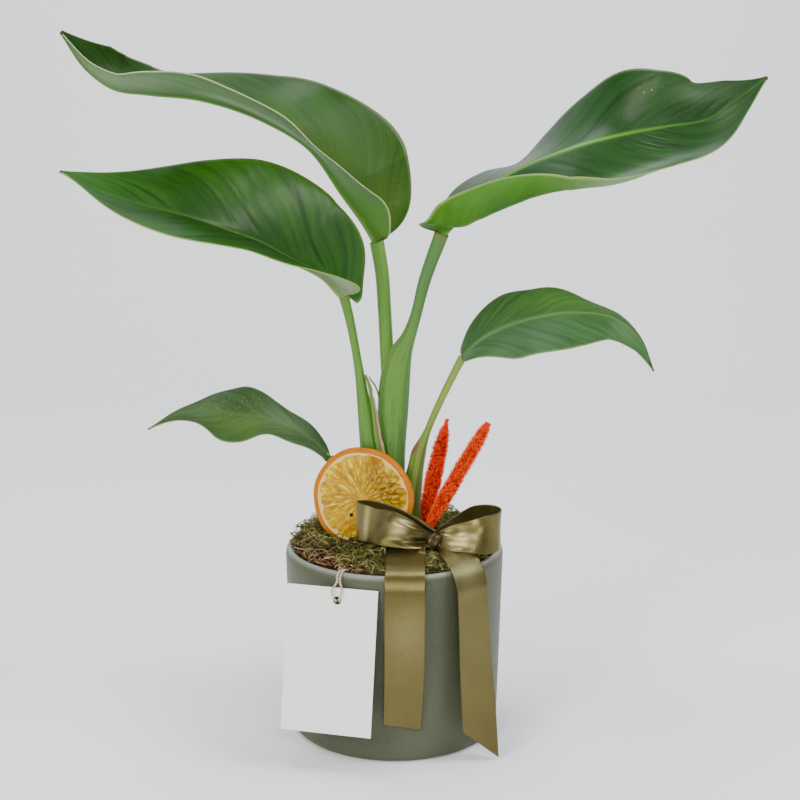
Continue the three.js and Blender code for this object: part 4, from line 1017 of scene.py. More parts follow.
def under_face_material(name, blade):
    """The waxy lower face: pale, with fine parallel veins and the marks, some of them painted light and
    shade.
    """
    base, light, warm_tint = blade["under"]
    shade = Shade(name + "_back", roughness=0.5, specular_ior_level=0.12)
    veins, streak, scratches, fields = leaf_textures(shade)
    warm, cool, pale, worn, dry, shaded, _, rib, edge, _ = fields
    cloud = shade.noise(30.0, detail=4.0)
    fine = shade.noise(800.0, detail=3.0)
    shade.paint(
        base,
        (cloud.between(0.4, 0.7) * 0.5, light),
        (streak.between(0.5, 0.66) * 0.7, light),
        (streak.between(0.46, 0.3) * 0.4, "2e4e18"),
        (veins * 0.4, light),
        # From the marks: painted light shining through the blade and its veins, a painted grey sheen, painted
        # shade, and a painted sheen on the waxy bloom.
        (warm, warm_tint),
        (warm * veins * 0.4, "86a94e"),
        (cool * 0.7, "5d7d68"),
        (shaded * 0.7, "3f5c33"),
        (pale * 0.7, "b4c3a8"),
        (worn * scratches.between(0.48, 0.3), "49651f"),
        (rib * 0.8, "7f9f52"),
        (edge, blade["edge_tint"]),
        ((dry * (0.5 + fine)).between(0.3, 0.6), "4f3e22"),
        roughness=0.42 + 0.2 * fine,
    )
    return shade.bump(0.6 * veins + 0.2 * fine, 0.00018)


def add_blade(name):
    blade = BLADES[name]
    t = (1 - np.cos(np.pi * np.linspace(0, 1, BLADE_ROWS))) / 2
    even = np.linspace(-1, 1, BLADE_COLUMNS)
    tt, ss = np.meshgrid(t, even * (0.55 + 0.45 * np.abs(even)), indexing="ij")
    grid, width = blade_grid(blade, tt, ss)
    towards_left = blade["rib"][0][0] > blade["rib"][-1][0]
    relief, groove, vein = blade_relief(blade, tt, ss, width)
    grid = grid + grid_normals(grid) * (-relief if towards_left else relief)[..., None]
    reach = np.abs(ss)
    off_rib = reach * width
    rib_half = RIB_HALF_WIDTH * (1 - tt) + 0.5
    rib_depth = RIB_DEPTH_AT_BASE + (RIB_DEPTH_AT_TIP - RIB_DEPTH_AT_BASE) * tt
    plain = BLADE_HALF_THICKNESS + (MARGIN_HALF_THICKNESS - BLADE_HALF_THICKNESS) * smooth_step(reach, 0.9, 1)
    under = plain + rib_depth * bell(off_rib / rib_half)
    points, faces, sides = slab_over(grid, *((under, plain) if towards_left else (plain, under)))
    slots = [1 - side for side in sides] if towards_left else sides
    rib_line = bell(off_rib / (0.5 + 1.3 * (1 - tt) ** 1.3))
    fields = mark_fields(MARK_FIELDS, blade["marks"], tt, ss)
    fields.update({
        "vein": vein,
        "across": ss,
        "groove": groove,
        "rib": rib_line * (1 - 0.8 * smooth_step(tt, *blade.get("rib_end", (0.6, 1.1)))),
        "edge": bell((1 - reach) * width / MARGIN_LINE) * np.where(ss < 0, 0.9, 0.35),
        "dry": np.maximum(fields["dry"], smooth_step(tt, 0.985, 1.0)),
    })
    both = {key: np.tile(values.ravel(), 2) for key, values in fields.items()}
    node = f"leaf_{name}_blade"
    materials = [inner_face_material(node, blade), under_face_material(node, blade)]
    add_piece(node + "_veined", points, faces, both, materials, [node], "leaf_blade", slots=slots)


for blade_name in BLADES:
    add_blade(blade_name)


# The dried orange slice

SLICE_CENTRE = (-19.4, -16, 156.9)
SLICE_TURN = -14
SLICE_LEAN = 4
SLICE_RADIUS = 32.5
SLICE_SEGMENTS = 10
SLICE_WARP = 1.1
SLICE_SECTORS = 270
SLICE_SEED = 5
SLICE_MIDDLE = 1.7
RIND_START = 0.91
PITH_START = 0.84
VESICLES = 620
VESICLE_LENGTH = 3.4
VESICLE_TURN = 20.0 / 1.05

# Seeds' holes, sunk and painted almost black as painted shade, and browned patches on the
# front, as (radius share, angle, half size).
SLICE_HOLES = [(0.42, 236, 0.045), (0.36, -38, 0.03)]
SLICE_BROWN = [(0.55, 20, 0.3), (0.5, 60, 0.25), (0.6, -20, 0.25)]


def slice_pattern(radius_share, angle, random):
    """For each point of one face: its height above the middle, and how far it belongs to
    the rind, the pith, a membrane or a juice vesicle, with each vesicle's own number."""
    sway = random.uniform(-0.16, 0.16, SLICE_SEGMENTS)
    walls = TURN * (np.arange(SLICE_SEGMENTS) + 0.5 + sway) / SLICE_SEGMENTS
    from_wall = np.min([np.abs((angle - wall + np.pi) % TURN - np.pi) for wall in walls], axis=0)
    radius = radius_share * SLICE_RADIUS
    scallop = 1 - smooth_step(from_wall, 0, np.pi / SLICE_SEGMENTS * 0.45)
    uneven = 0.012 * np.sin(5 * angle + 1) + 0.008 * np.sin(13 * angle)
    flesh_end = PITH_START + 0.025 - 0.045 * scallop + uneven
    rind = smooth_step(radius_share, RIND_START - 0.012, RIND_START + 0.012)
    pith = smooth_step(radius_share, flesh_end - 0.012, flesh_end + 0.012) * (1 - rind)
    core = 1 - smooth_step(radius_share, 0.06, 0.12)
    wall_half = 0.32 + 0.5 * smooth_step(radius_share, 0.5, 0.8) * scallop
    membrane = np.maximum(bell(from_wall * radius / wall_half) * (1 - rind) * (1 - pith), core)

    seeds = np.column_stack([
        random.uniform(0.08, 0.84, VESICLES) * SLICE_RADIUS / VESICLE_LENGTH,
        random.uniform(0, TURN, VESICLES) * VESICLE_TURN,
    ])
    tree = KDTree(3 * VESICLES)
    for turn in (-1, 0, 1):
        for k, (u, v) in enumerate(seeds):
            tree.insert((u, v + turn * TURN * VESICLE_TURN, 0), k)
    tree.balance()
    found = [tree.find_n((u, v, 0), 2) for u, v in zip(radius / VESICLE_LENGTH, angle * VESICLE_TURN)]
    nearest, second = (np.array([two[k][2] for two in found]) for k in (0, 1))
    tone = random.uniform(0, 1, VESICLES)[np.array([two[0][1] for two in found])]
    cell = np.clip(1 - nearest / (0.5 * (nearest + second) + 1e-6), 0, 1)
    flesh = (1 - rind) * (1 - pith) * (1 - membrane)
    sunken = 1.1 + 0.45 * np.sin(2.5 * angle + 1.2) * radius_share
    height = rind * 2.35 + pith * (1.95 + 0.12 * np.sin(60 * angle)) + membrane * 1.75
    height = height + flesh * (sunken * 0.75 + 0.55 * cell**0.6 + 0.35 * tone)
    edge = smooth_step(radius_share, 0.94, 1.0)
    fields = {"rind": rind, "pith": pith, "membrane": membrane, "cell": cell, "tone": tone}
    return height * (1 - edge) + edge * 1.5, fields


def orange_material():
    """Dried citrus: waxy rind, fibrous cream pith, papery membranes and glassy amber flesh."""
    shade = Shade("dried_orange_flesh", roughness=0.4, specular_ior_level=0.08, coat_roughness=0.1,
        subsurface_weight=0.1, subsurface_radius=(0.004, 0.002, 0.0005), subsurface_scale=0.4)
    rind, pith, membrane, cell, tone, brown, hole = shade.fields("rind pith membrane cell tone brown hole")
    fine = shade.noise(700.0, detail=4.0)
    cloud = shade.noise(90.0, detail=3.0)
    pores = shade.cells(700.0).between(0.45, 0.1)
    shade.paint(
        "b08000",
        (tone.between(0.1, 0.55), "cca400"),
        (tone.between(0.65, 0.9), "e8d020"),
        (cloud.between(0.55, 0.7) * 0.5, "b88400"),
        (cell.between(0.3, 0.0) * 0.5, "8c5200"),
        (brown * 0.5, "a8741c"),
        (brown * cell.between(0.35, 0.05) * 0.9, "64400f"),
        (membrane * 0.6, "d8b038"),
        (membrane * fine.between(0.5, 0.7) * 0.5, "a8742c"),
        (pith, "e8ca80"),
        (pith * fine.between(0.5, 0.75) * 0.5, "d8b050"),
        (rind, "c07000"),
        (rind * cloud.between(0.45, 0.7) * 0.6, "b06000"),
        (rind * pores * 0.4, "d89008"),
        # Painted shade in the seed holes.
        (hole, "2a1608"),
        roughness=0.22 + 0.35 * pith + 0.18 * rind + 0.2 * fine,
        coat_weight=0.5 * (1.0 - pith.most(rind * 0.85).most(membrane * 0.5)),
    )
    return shade.bump(0.6 * fine + 0.5 * rind * pores, 0.0007)


def near_marks(x, y, marks):
    apart = [(x - share * math.cos(math.radians(a)), y - share * math.sin(math.radians(a)), half)
        for share, a, half in marks]
    return np.max([bell(np.hypot(dx, dy) / half) for dx, dy, half in apart], axis=0)


def add_slice():
    random = np.random.default_rng(SLICE_SEED)
    outer = [0.95, 0.97, 0.985, 0.995, 1.0]
    shares = np.concatenate([np.linspace(0.02, 0.8, 54), np.linspace(0.805, 0.93, 20), outer])
    grids = np.meshgrid(shares, round_angles(SLICE_SECTORS), indexing="ij")
    share, angle = (grid.ravel() for grid in grids)
    x, y = share * np.cos(angle), share * np.sin(angle)
    radius = SLICE_RADIUS * (1 + 0.008 * np.sin(3 * angle + 1) + 0.005 * np.sin(7 * angle))
    warp = SLICE_WARP * share**2 * np.sin(2 * angle + 0.7)
    holes = near_marks(x, y, SLICE_HOLES)
    brown = near_marks(x, y, SLICE_BROWN)
    surfaces, both = [], []
    for side in (1, -1):
        height, fields = slice_pattern(share, angle, random)
        lift = side * (height - 1.2 * smooth_step(holes, 0.2, 0.8)) + warp
        surfaces.append(np.column_stack([x * radius, y * radius, lift]))
        both.append({**fields, "hole": smooth_step(holes, 0.35, 0.7), "brown": brown})
    front, back = both
    middles = {key: [float(key == "membrane")] * 2 for key in front}
    fields = {key: np.concatenate([front[key], back[key], middles[key]]) for key in front}
    rows, count = len(shares), len(share)
    rim = np.arange(count - SLICE_SECTORS, count)
    after = np.roll(rim, -1)
    faces = grid_faces(rows, SLICE_SECTORS, around=True) + fan_faces(0, SLICE_SECTORS, 2 * count)
    faces += grid_faces(rows, SLICE_SECTORS, around=True, first=count, flip=True)
    faces += fan_faces(count, SLICE_SECTORS, 2 * count + 1, flip=True)
    faces += np.stack([rim, rim + count, after + count, after], -1).tolist()
    points = np.vstack([*surfaces, [0, 0, SLICE_MIDDLE], [0, 0, -SLICE_MIDDLE]])
    placed = turned(points, ("x", 90 - SLICE_LEAN), ("z", SLICE_TURN)) + np.array(SLICE_CENTRE)
    materials = [orange_material()]
    add_piece("orange_slice_dried", placed, faces, fields, materials, ["orange_slice"], "dried_orange")


add_slice()


# The two bristly flower spikes

SPIKES = {
    "spike_red": {
        "foot": (13.8, -12.5, 112), "tip": (33.6, -12.5, 208.6), "slot": "red_bristle", "seed": 21,
        "deep": "8a0e00", "middle": "fa3604", "bright": "ff6a30", "blunt": 0.0,
        "profile": [(0, 3.2), (0.16, 5), (0.44, 6), (0.72, 5.2), (0.91, 3.4), (1, 1.6)],
    },
    "spike_orange": {
        "foot": (6.8, -23.5, 112), "tip": (59.2, -23.5, 208.7), "slot": "orange_bristle", "seed": 22,
        "deep": "b02400", "middle": "ff4c0e", "bright": "ff8030", "blunt": 1.0,
        "profile": [(0, 3.6), (0.25, 5.2), (0.5, 5.4), (0.8, 4.9), (0.95, 4.1), (1, 3)],
    },
}
SPIKE_HEAD_START = 0.25
SPIKE_STALK_RADIUS = 1.3
SPIKE_BEND = 0.7
BRISTLE_STAND = 2.3
TUFTS = 560
TUFT_BRISTLES = 11
TUFT_RADIUS = 0.5
# The share of tufts sunk into the head: shorter, and painted in the deep colour as painted shade.
SUNK_TUFTS = 0.17
BRISTLE_LENGTH = 3.8
BRISTLE_RADIUS = 0.24
BRISTLE_OUT = np.array([0, 0, 0, 0.5, 0.5, 0.5, 1.0])
BRISTLE_FACES = [[2, 1, 0], *grid_faces(2, 3, around=True, flip=True), *fan_faces(3, 3, 6)]
GOLDEN_TURN = 2.39996
TIP_ROOM = 1.5


def spike_core_radius(spike, share):
    """The bristly head's half width at each share of its length, less what the bristles
    stand out."""
    shares, widths = zip(*spike["profile"])
    return np.maximum(0.3, np.interp(share, shares, widths) - BRISTLE_STAND)


def bristle_material(name, spike):
    shade = Shade(name + "_bristles", roughness=0.7, specular_ior_level=0.15)
    out, own = shade.fields("out own")
    return shade.paint(
        spike["deep"],
        # From the deep colour at their feet to bright at their tips: painted shade deep in the head.
        (out.between(0.05, 0.5), spike["middle"]),
        (out.between(0.45, 1.0) * (0.45 + 0.55 * own), spike["bright"]),
        # Sunk tufts take the deep colour: painted shade in the hollows between tufts.
        (own.between(0.88, 0.92) * 0.85, spike["deep"]),
    )


def bristle(line, thick):
    """A three-sided spine with one bend: seven points."""
    line = np.asarray(line)
    way = unit(line[2] - line[0])
    side = unit(np.cross(way, [0.31, 0.57, 0.76]))
    ring = way_round(round_angles(3)[:, None], side, np.cross(way, side))
    points = np.vstack([line[0] + ring * thick, line[1] + ring * thick * 0.7, line[2:]])
    return points, BRISTLE_FACES


def add_spike(name):
    spike = SPIKES[name]
    random = np.random.default_rng(spike["seed"])
    foot, tip = np.array(spike["foot"], float), np.array(spike["tip"], float)
    axis = unit(tip - foot)
    length = np.linalg.norm(tip - foot)
    head_start = SPIKE_HEAD_START * length
    head_length = length - head_start - 2.2
    one = unit(np.cross(axis, [0, 1.0, 0]))
    other = np.cross(axis, one)
    run = np.concatenate([np.linspace(0, head_start, 6), head_start + head_length * np.linspace(0.02, 1, 40)])
    core = spike_core_radius(spike, np.clip((run - head_start) / head_length, 0, 1))
    bend = SPIKE_BEND * np.sin(np.pi * run / length)
    centres = foot + axis * run[:, None] + one * bend[:, None]
    stem = tube(centres, np.where(run <= head_start, SPIKE_STALK_RADIUS, core), 20)
    parts = [(*stem, {"out": 0.2, "own": 0.3})]
    for tuft in range(TUFTS):
        at = ((tuft + 0.5) / TUFTS) ** 0.9
        away = way_round(tuft * GOLDEN_TURN + random.uniform(-0.12, 0.12), one, other)
        sideways = np.cross(axis, away)
        run = head_start + at * head_length
        core = float(spike_core_radius(spike, at))
        root = foot + axis * run + one * SPIKE_BEND * math.sin(math.pi * run / length) + away * core
        near_tip = smooth_step(at, 0.84, 1.0)
        own_tone = random.uniform(0, 1)
        sunk = random.uniform(0, 1) < SUNK_TUFTS
        for _ in range(TUFT_BRISTLES):
            turn, share = random.uniform(0, TURN), math.sqrt(random.uniform(0, 1))
            u, v = share * math.cos(turn), share * math.sin(turn)
            base = root + TUFT_RADIUS * (0.7 if near_tip > 0.5 else 1.0) * (axis * u + sideways * v)
            reach = BRISTLE_LENGTH * (0.55 + 0.45 * smooth_step(at, 0, 0.25)) * random.uniform(0.5, 1.25)
            reach *= (1 - 0.25 * share) * (1 - 0.35 * near_tip) * (0.6 if sunk else 1)
            lean = math.radians(54 - (36 - 14 * spike["blunt"]) * near_tip - 24 * u + random.uniform(-8, 8))
            twist = sideways * (0.45 * v + random.uniform(-0.12, 0.12))
            first = reach * 0.5 * unit(way_round(lean, axis, away) + twist)
            second = reach * 0.5 * unit(way_round(lean * 0.7, axis, away) + twist * 1.2)
            line = [base, base + first, base + first + second]
            spine = bristle(line, BRISTLE_RADIUS * random.uniform(0.75, 1.2))
            # Sunk tufts are set apart for their painted shade.
            own = 0.95 if sunk else 0.5 * own_tone + 0.35 * random.uniform(0, 1)
            parts.append((*spine, {"out": BRISTLE_OUT, "own": own}))
    points, faces, fields = joined(parts)
    # Bristles that would pass the spike's tip are drawn back behind it, the farthest least.
    over = np.maximum(0, (points - foot) @ axis - (length - TIP_ROOM))
    points = points - (over - TIP_ROOM * over / (over + TIP_ROOM))[:, None] * axis
    materials = [bristle_material(name, spike)]
    add_piece(name + "_bristly", points, faces, fields, materials, [name], spike["slot"])


for spike_name in SPIKES:
    add_spike(spike_name)


# The satin bow. Each row is a centre point, the way across the ribbon, and half its
# gathered width.

RIBBON = {
    "left_loop": [
        (24, -34, 135.6, 0, 0.5, 1, 4.5), (14, -40.4, 139, 0, 0.42, 1, 8), (-1, -42.6, 144.2, 0, 0.36, 1, 11),
        (-13, -43, 147.3, 0, -0.16, 1, 12.1), (-21.6, -39.5, 148.4, 0, 0, 1, 12.5),
        (-23, -35.6, 148.4, 0, 0, 1, 12.5), (-19, -32.4, 148, 0, 0, 1, 12.5),
        (-6, -30.8, 145.4, 0, 0, 1, 12), (10, -30.6, 141, 0, 0, 1, 9), (25, -31.4, 136, 0, 0.1, 1, 4.5),
    ],
    "right_loop": [
        (27, -32, 135.5, 0, 0.5, 1, 4.5), (36, -37, 137, 0, 0.5, 1, 8.4), (48, -39.5, 138.6, 0, 0.5, 1, 10.4),
        (58, -38.5, 139.6, 0, 0.12, 1, 12), (65, -34, 140.4, 0, 0, 1, 12.4),
        (66.6, -28.5, 141, 0, 0, 1, 12.4), (63, -22.5, 141.8, 0, 0, 1, 12.2), (52, -21.4, 142, 0, 0, 1, 11.8),
        (40, -27, 139.5, 0, 0.1, 1, 9), (27, -30.8, 136, 0, 0.1, 1, 4.5),
    ],
    "left_tail": [
        (22, -32.4, 133.8, 0.3, -0.7, 0.6, 3.4), (14.6, -36, 133, 0.6, -0.75, 0.25, 8),
        (9, -42.6, 131.4, 0.97, -0.2, 0.05, 11.6), (7.1, -53, 129, 1, 0, 0, 12.5),
        (6.9, -62, 126.2, 1, 0, 0, 12.5), (6.8, -68, 122.9, 1, 0, 0, 12.5),
        (6.7, -71.8, 116.8, 1, 0, 0, 12.5), (6.6, -73.7, 107, 1, 0, 0, 12.5),
        (6.5, -74.2, 95, 1, 0.02, 0, 12.5), (6.4, -73.6, 81, 1, 0.05, 0, 12.5),
        (6.3, -72.2, 64, 1, 0.1, 0, 12.5), (5.8, -71, 44, 0.98, 0.2, 0, 12.5),
        (5, -70.8, 22.6, 0.94, 0.34, 0, 12.3),
    ],
    "right_tail": [
        (26.4, -33, 134, 0.2, 0.8, 0.6, 3.6), (33.5, -37, 132, 0.5, 0.82, 0.3, 8),
        (39, -45, 129.4, 0.74, 0.66, 0.1, 11.6), (43, -52, 126, 0.75, 0.66, 0, 12.5),
        (46, -56.6, 120.4, 0.75, 0.66, 0, 12.5), (47.8, -59, 113, 0.75, 0.66, 0, 12.5),
        (48.4, -59.8, 104, 0.76, 0.65, 0, 12.5), (50.4, -60, 64, 0.8, 0.6, 0, 12.5),
        (52.6, -62.4, 32, 0.86, 0.5, 0, 12.5), (54.4, -66.8, 1.8, 0.9, 0.42, 0, 12),
    ],
}
RIBBON_CUT = {"left_tail": 0.02, "right_tail": 0.066}
RIBBON_PHASE = {"left_loop": 0.4, "right_loop": 1.3, "left_tail": 2.0, "right_tail": 0.9}
RIBBON_WIDTH = 25
RIBBON_HALF_WIDTH = RIBBON_WIDTH / 2
RIBBON_GATHER = 8.5
RIBBON_THICKNESS = 0.5
RIBBON_ROWS = 160
RIBBON_COLUMNS = 35
KNOT_CENTRE = (23.6, -33.4, 133.4)
KNOT_SIZE = (5.4, 4.8, 7)
KNOT_TILT = -18
KNOT_LEAN = 28
KNOT_ROWS = 72
KNOT_COLUMNS = 33
KNOT_WRAP_LENGTH = 42

# Where a loop's face is puffed out, and where painted highlights lie on the satin, or
# painted shade where the amount is below 0. Both go across from -1 to 1.
PUFFS = {
    "left_loop": [(0.2, 0.2, 0.09, 0.8, 1.8), (0.385, 0, 0.03, 1.4, 1.0), (0.1, -0.45, 0.06, 0.35, -1.6)],
    "right_loop": [(0.2, -0.1, 0.13, 0.9, 1.3), (0.1, 0.45, 0.05, 0.4, -1.2)],
}
SATIN_PAINTED_LIGHT_AND_SHADE = {
    "left_loop": [(0.25, 0.15, 0.05, 0.55, 1), (0.345, 0, 0.035, 1.6, -0.8), (0.425, 0, 0.014, 2, 0.7),
        (0.2, -0.72, 0.06, 0.2, -0.8), (0.13, -0.95, 0.07, 0.14, 0.8)],
    "right_loop": [(0.11, -0.05, 0.075, 0.75, 1), (0.24, -0.2, 0.05, 0.5, 0.5), (0.36, 0, 0.04, 1.4, -0.3)],
    "left_tail": [(0.13, -0.5, 0.09, 0.8, -0.5), (0.55, 0.1, 0.12, 1, 0.2)],
    "right_tail": [(0.2, -0.15, 0.07, 0.9, 0.9)],
}


def ribbon_folds(name, t, s, gathered):
    """How far the ribbon's face stands off its middle surface: creases that fan out from the
    knot, and a slow wave."""
    phase = RIBBON_PHASE[name]
    fold = np.cos(np.pi * (1.7 * s + phase)) + 0.45 * np.cos(np.pi * (3.3 * s + 2.1 * phase + 3 * t))
    slow = 0.16 * np.sin(9 * t + 2.2 * s + phase) + 0.1 * np.sin(23 * t - 3 * s)
    loop = name.endswith("loop")
    if not loop:
        slow = slow * 0.5
    dent = (0.4 if loop else 0.1) * np.sin(TURN * (t / 0.27 + 0.12 * s + phase)) * bell((t - 0.2) / 0.2)
    puff = soft_spots(PUFFS.get(name, ()), t, s)
    lip = 2.2 * smooth_step(-s, 0.5, 1.0) * bell((t - 0.12) / 0.09) if loop else 0
    front = -1 if name == "left_loop" else 1
    creases = (0.7 if name == "right_loop" else 1.1) * gathered**1.1 * fold
    return creases + (slow + dent) * (1 - gathered) + front * (puff + lip)


def ribbon_strip(name):
    path = path_through(RIBBON[name])
    cut = RIBBON_CUT.get(name, 0)
    s = np.linspace(-1, 1, RIBBON_COLUMNS)
    t = (np.linspace(0, 1, RIBBON_ROWS)[:, None] * (1 - abs(cut) + cut * s[None, :])).ravel()
    s = np.tile(s, RIBBON_ROWS)
    row = path(t)
    along = direction_along(path, t)
    across = row[:, 3:6]
    across = unit(across - along * (across * along).sum(1, keepdims=True))
    middle = row[:, :3] + across * (row[:, 6] * s)[:, None]
    gathered = np.clip((RIBBON_HALF_WIDTH - row[:, 6]) / RIBBON_GATHER, 0, 1)
    stand = ribbon_folds(name, t, s, gathered)
    grid = (middle + np.cross(along, across) * stand[:, None]).reshape(RIBBON_ROWS, RIBBON_COLUMNS, 3)
    half = np.full(grid.shape[:2], RIBBON_THICKNESS / 2)
    length = steps_along(path(np.linspace(0, 1, 200))).sum()
    # Painted highlights and painted shade from the table, and painted shade where the ribbon gathers towards
    # the knot; the "light" and "deep" fields carry them.
    tone = soft_spots(SATIN_PAINTED_LIGHT_AND_SHADE[name], t, s)
    deep = gathered**1.3 * (0.5 if name == "right_loop" else 1)
    one_face = {"run": t * length, "across": s, "deep": np.maximum(deep, -tone), "light": np.maximum(tone, 0)}
    fields = {key: np.tile(values, 2) for key, values in one_face.items()}
    return (*slab_over(grid, half, half)[:2], fields), length


def knot_wrap():
    """The ribbon's turn round the bow's waist: creases run round it, and it narrows to both
    sides."""
    across = np.linspace(-1, 1, KNOT_COLUMNS)
    angle = round_angles(KNOT_ROWS)
    xx, aa = np.meshgrid(across, angle, indexing="ij")
    crease = 0.075 * np.cos(9.5 * xx + 0.5 * np.sin(aa) + 0.6) + 0.05 * np.cos(21 * xx + 1.5 * np.cos(aa))
    size = np.sqrt(np.clip(1 - 0.72 * xx**2, 0, 1)) * (1 + crease * (1 - xx**4))
    y = -np.cos(aa) * KNOT_SIZE[1] * size
    z = np.sin(aa) * KNOT_SIZE[2] * size + 0.8 * xx
    points = np.stack([xx * KNOT_SIZE[0], y, z], -1).reshape(-1, 3)
    points = turned(points, ("x", 90), ("z", KNOT_LEAN), ("x", -90), ("x", KNOT_TILT)) + np.array(KNOT_CENTRE)
    fields = {"run": np.tile(angle * 6.4, KNOT_COLUMNS), "across": np.repeat(across, KNOT_ROWS) * 0.8}
    # The knot is painted dark all over: painted shade in its folds.
    return points, rod_faces(KNOT_COLUMNS, KNOT_ROWS, flip=False), {**fields, "deep": 0.75, "light": 0.0}


def satin_material():
    """Olive satin: fine lengthwise floats, faint cross ribs and a woven edge, under painted highlights and
    painted shade.
    """
    shade = Shade("olive_satin", roughness=0.3, metallic=0.75, specular_ior_level=0.5, coat_weight=0.18,
        coat_roughness=0.26)
    run, across, deep, light = shade.fields("run across deep light")
    threads = shade.bands(run * 0.9, across * 60.0, 0.0, detail=3.0)
    ribs = shade.bands(run * 9.0, across * 6.0, 3.0)
    grain = shade.noise(1500.0)
    shade.paint(
        "5e5426",
        (shade.noise(60.0).between(0.35, 0.7) * 0.5, "665c2c"),
        (threads.between(0.45, 0.7) * 0.4, "847a44"),
        # Painted highlights.
        (light * 0.85, "b4ac74"),
        (grain.between(0.5, 0.75) * 0.45, "403a18"),
        (across.size().between(0.93, 0.985) * 0.6, "4a421e"),
        # Painted shade in the gathers, on the knot and where the tones are dark.
        (deep * 0.75, "2c260c"),
        roughness=0.22 + 0.12 * grain + 0.05 * threads,
    )
    return shade.bump(0.45 * grain + 0.35 * threads + 0.35 * ribs, 0.00009)


def add_bow():
    strips, lengths = zip(*[ribbon_strip(name) for name in RIBBON])
    total = sum(lengths, KNOT_WRAP_LENGTH)
    points, faces, fields = joined([*strips, knot_wrap()])
    bow = add_piece("satin_bow_ribbon", points, faces, fields, [satin_material()], ["satin_bow"], "satin")
    total * MM
    return BVHTree.FromPolygons([Vector(p) for p in points], faces)


def card_material():
    """Uncoated white card."""
    shade = Shade("white_card", roughness=0.62)
    fibre = shade.noise(900.0, detail=4.0)
    shade.paint("f1f1ef", (fibre * 0.6 + 0.4 * shade.noise(40.0), "fbfbfa"))
    return shade.bump(fibre, 0.00006)


bow_tree = add_bow()
dress("gift_tag", card_material())


# The moss: a matted ground, leafy green strands and dry brown ones

MOSS_RADIUS = 65
MOSS_BOTTOM = 106.3
MOSS_EDGE_TOP = 120
MOSS_MOUND = 17
MOSS_BACK_RISE = 5
MOSS_RINGS = 84
MOSS_SECTORS = 180
RIBBON_ROOM = 0.9
NO_RIBBON = 1e3
STRANDS_REACH = 63.8
REACH_IN_POT = 64.2
REACH_OVER_RIM = 67.5

# For each kind of strand: its seed, how many there are, and their tones. The dry ones also
# have how steeply they rise, their radius, and the share that is left out on green ground.
MOSSY_STRANDS = {
    "moss_green_strands": (7, 1250, ("1e280a", "3a4a14", "5c6a24", "2a360e", "9a9850")),
    "moss_olive_strands": (8, 560, ("2e2c10", "565424", "76743a", "3c3c16", "b8b070")),
}
DRY_STRANDS = {
    "moss_dry_strands": (9, 620, ("4a2814", "80563c", "b08866", "684430", "d8be94"), 1.0, 0.26, 0.7),
    "moss_pale_stems": (10, 130, ("9a845a", "b8a478", "7c6a40", "cebb90"), 1.2, 0.32, 0.3),
}

# One of the dry strands is a stem that lies over the knot.
STEM_OVER_KNOT = [(11, -44.4, 130.6), (15, -45, 132), (20, -43.4, 134.2), (25, -40.4, 136.8),
    (29.4, -39.6, 139.2), (31.4, -39, 141.6)]

# The four faces of a small leaf: two points at its foot, one over them, and its tip.
LEAFLET_FACES = ((0, 1, 3), (1, 2, 3), (2, 0, 3), (1, 0, 2))
LEAVES_A_STEP = 2


def moss_ground(x, y):
    """The matted ground under the strands. It lies deeper in the middle than at the rim."""
    share = np.minimum(1, np.hypot(x, y) / MOSS_RADIUS)
    mound = MOSS_MOUND * (1 - share**2) ** 0.8 + MOSS_BACK_RISE * share * np.maximum(0, y) / MOSS_RADIUS
    folds = np.sin(x / 4.3 + 1.4 * np.sin(y / 6.1)) * np.cos(y / 4.9 + x / 9.7)
    return MOSS_EDGE_TOP + mound + 1.5 * folds * (1 - share**4) - 1.9 + 3.2 * share**6


def ribbon_above(x, y):
    """The height of the ribbon's lowest face over a point, or a large number."""
    place, _, _, _ = bow_tree.ray_cast(Vector((x, y, 100.0)), Vector((0, 0, 1)), 80)
    return place.z if place is not None else NO_RIBBON


def green_share(x, y):
    """How green the moss is: brown at the front left under the rim, green elsewhere."""
    toward = (-0.81 * x - 0.58 * y) / MOSS_RADIUS
    patches = 0.5 + 0.5 * np.sin(x / 7.5 + 1.3) * np.cos(y / 6.5)
    return np.clip(1.15 - 1.1 * smooth_step(toward, 0.62, 0.95) - 0.3 * patches, 0.05, 1)


def moss_ground_material():
    shade = Shade("moss_mat_fibres", roughness=0.95, specular_ior_level=0.1)
    clump = shade.noise(110.0, detail=5.0, roughness=0.65)
    fine = shade.noise(900.0, detail=4.0)
    green = shade.field("green")
    # The mat is painted almost black: painted shade in the gaps between the strands, with green and brown
    # clumps over it.
    shade.paint(
        "140f08", (clump.between(0.4, 0.65) * green, "1c220c"),
        (clump.between(0.45, 0.6) * (1.0 - green), "3c2416"), (fine.between(0.58, 0.78) * 0.5, "54482a"),
    )
    return shade.bump(fine + clump, 0.001)


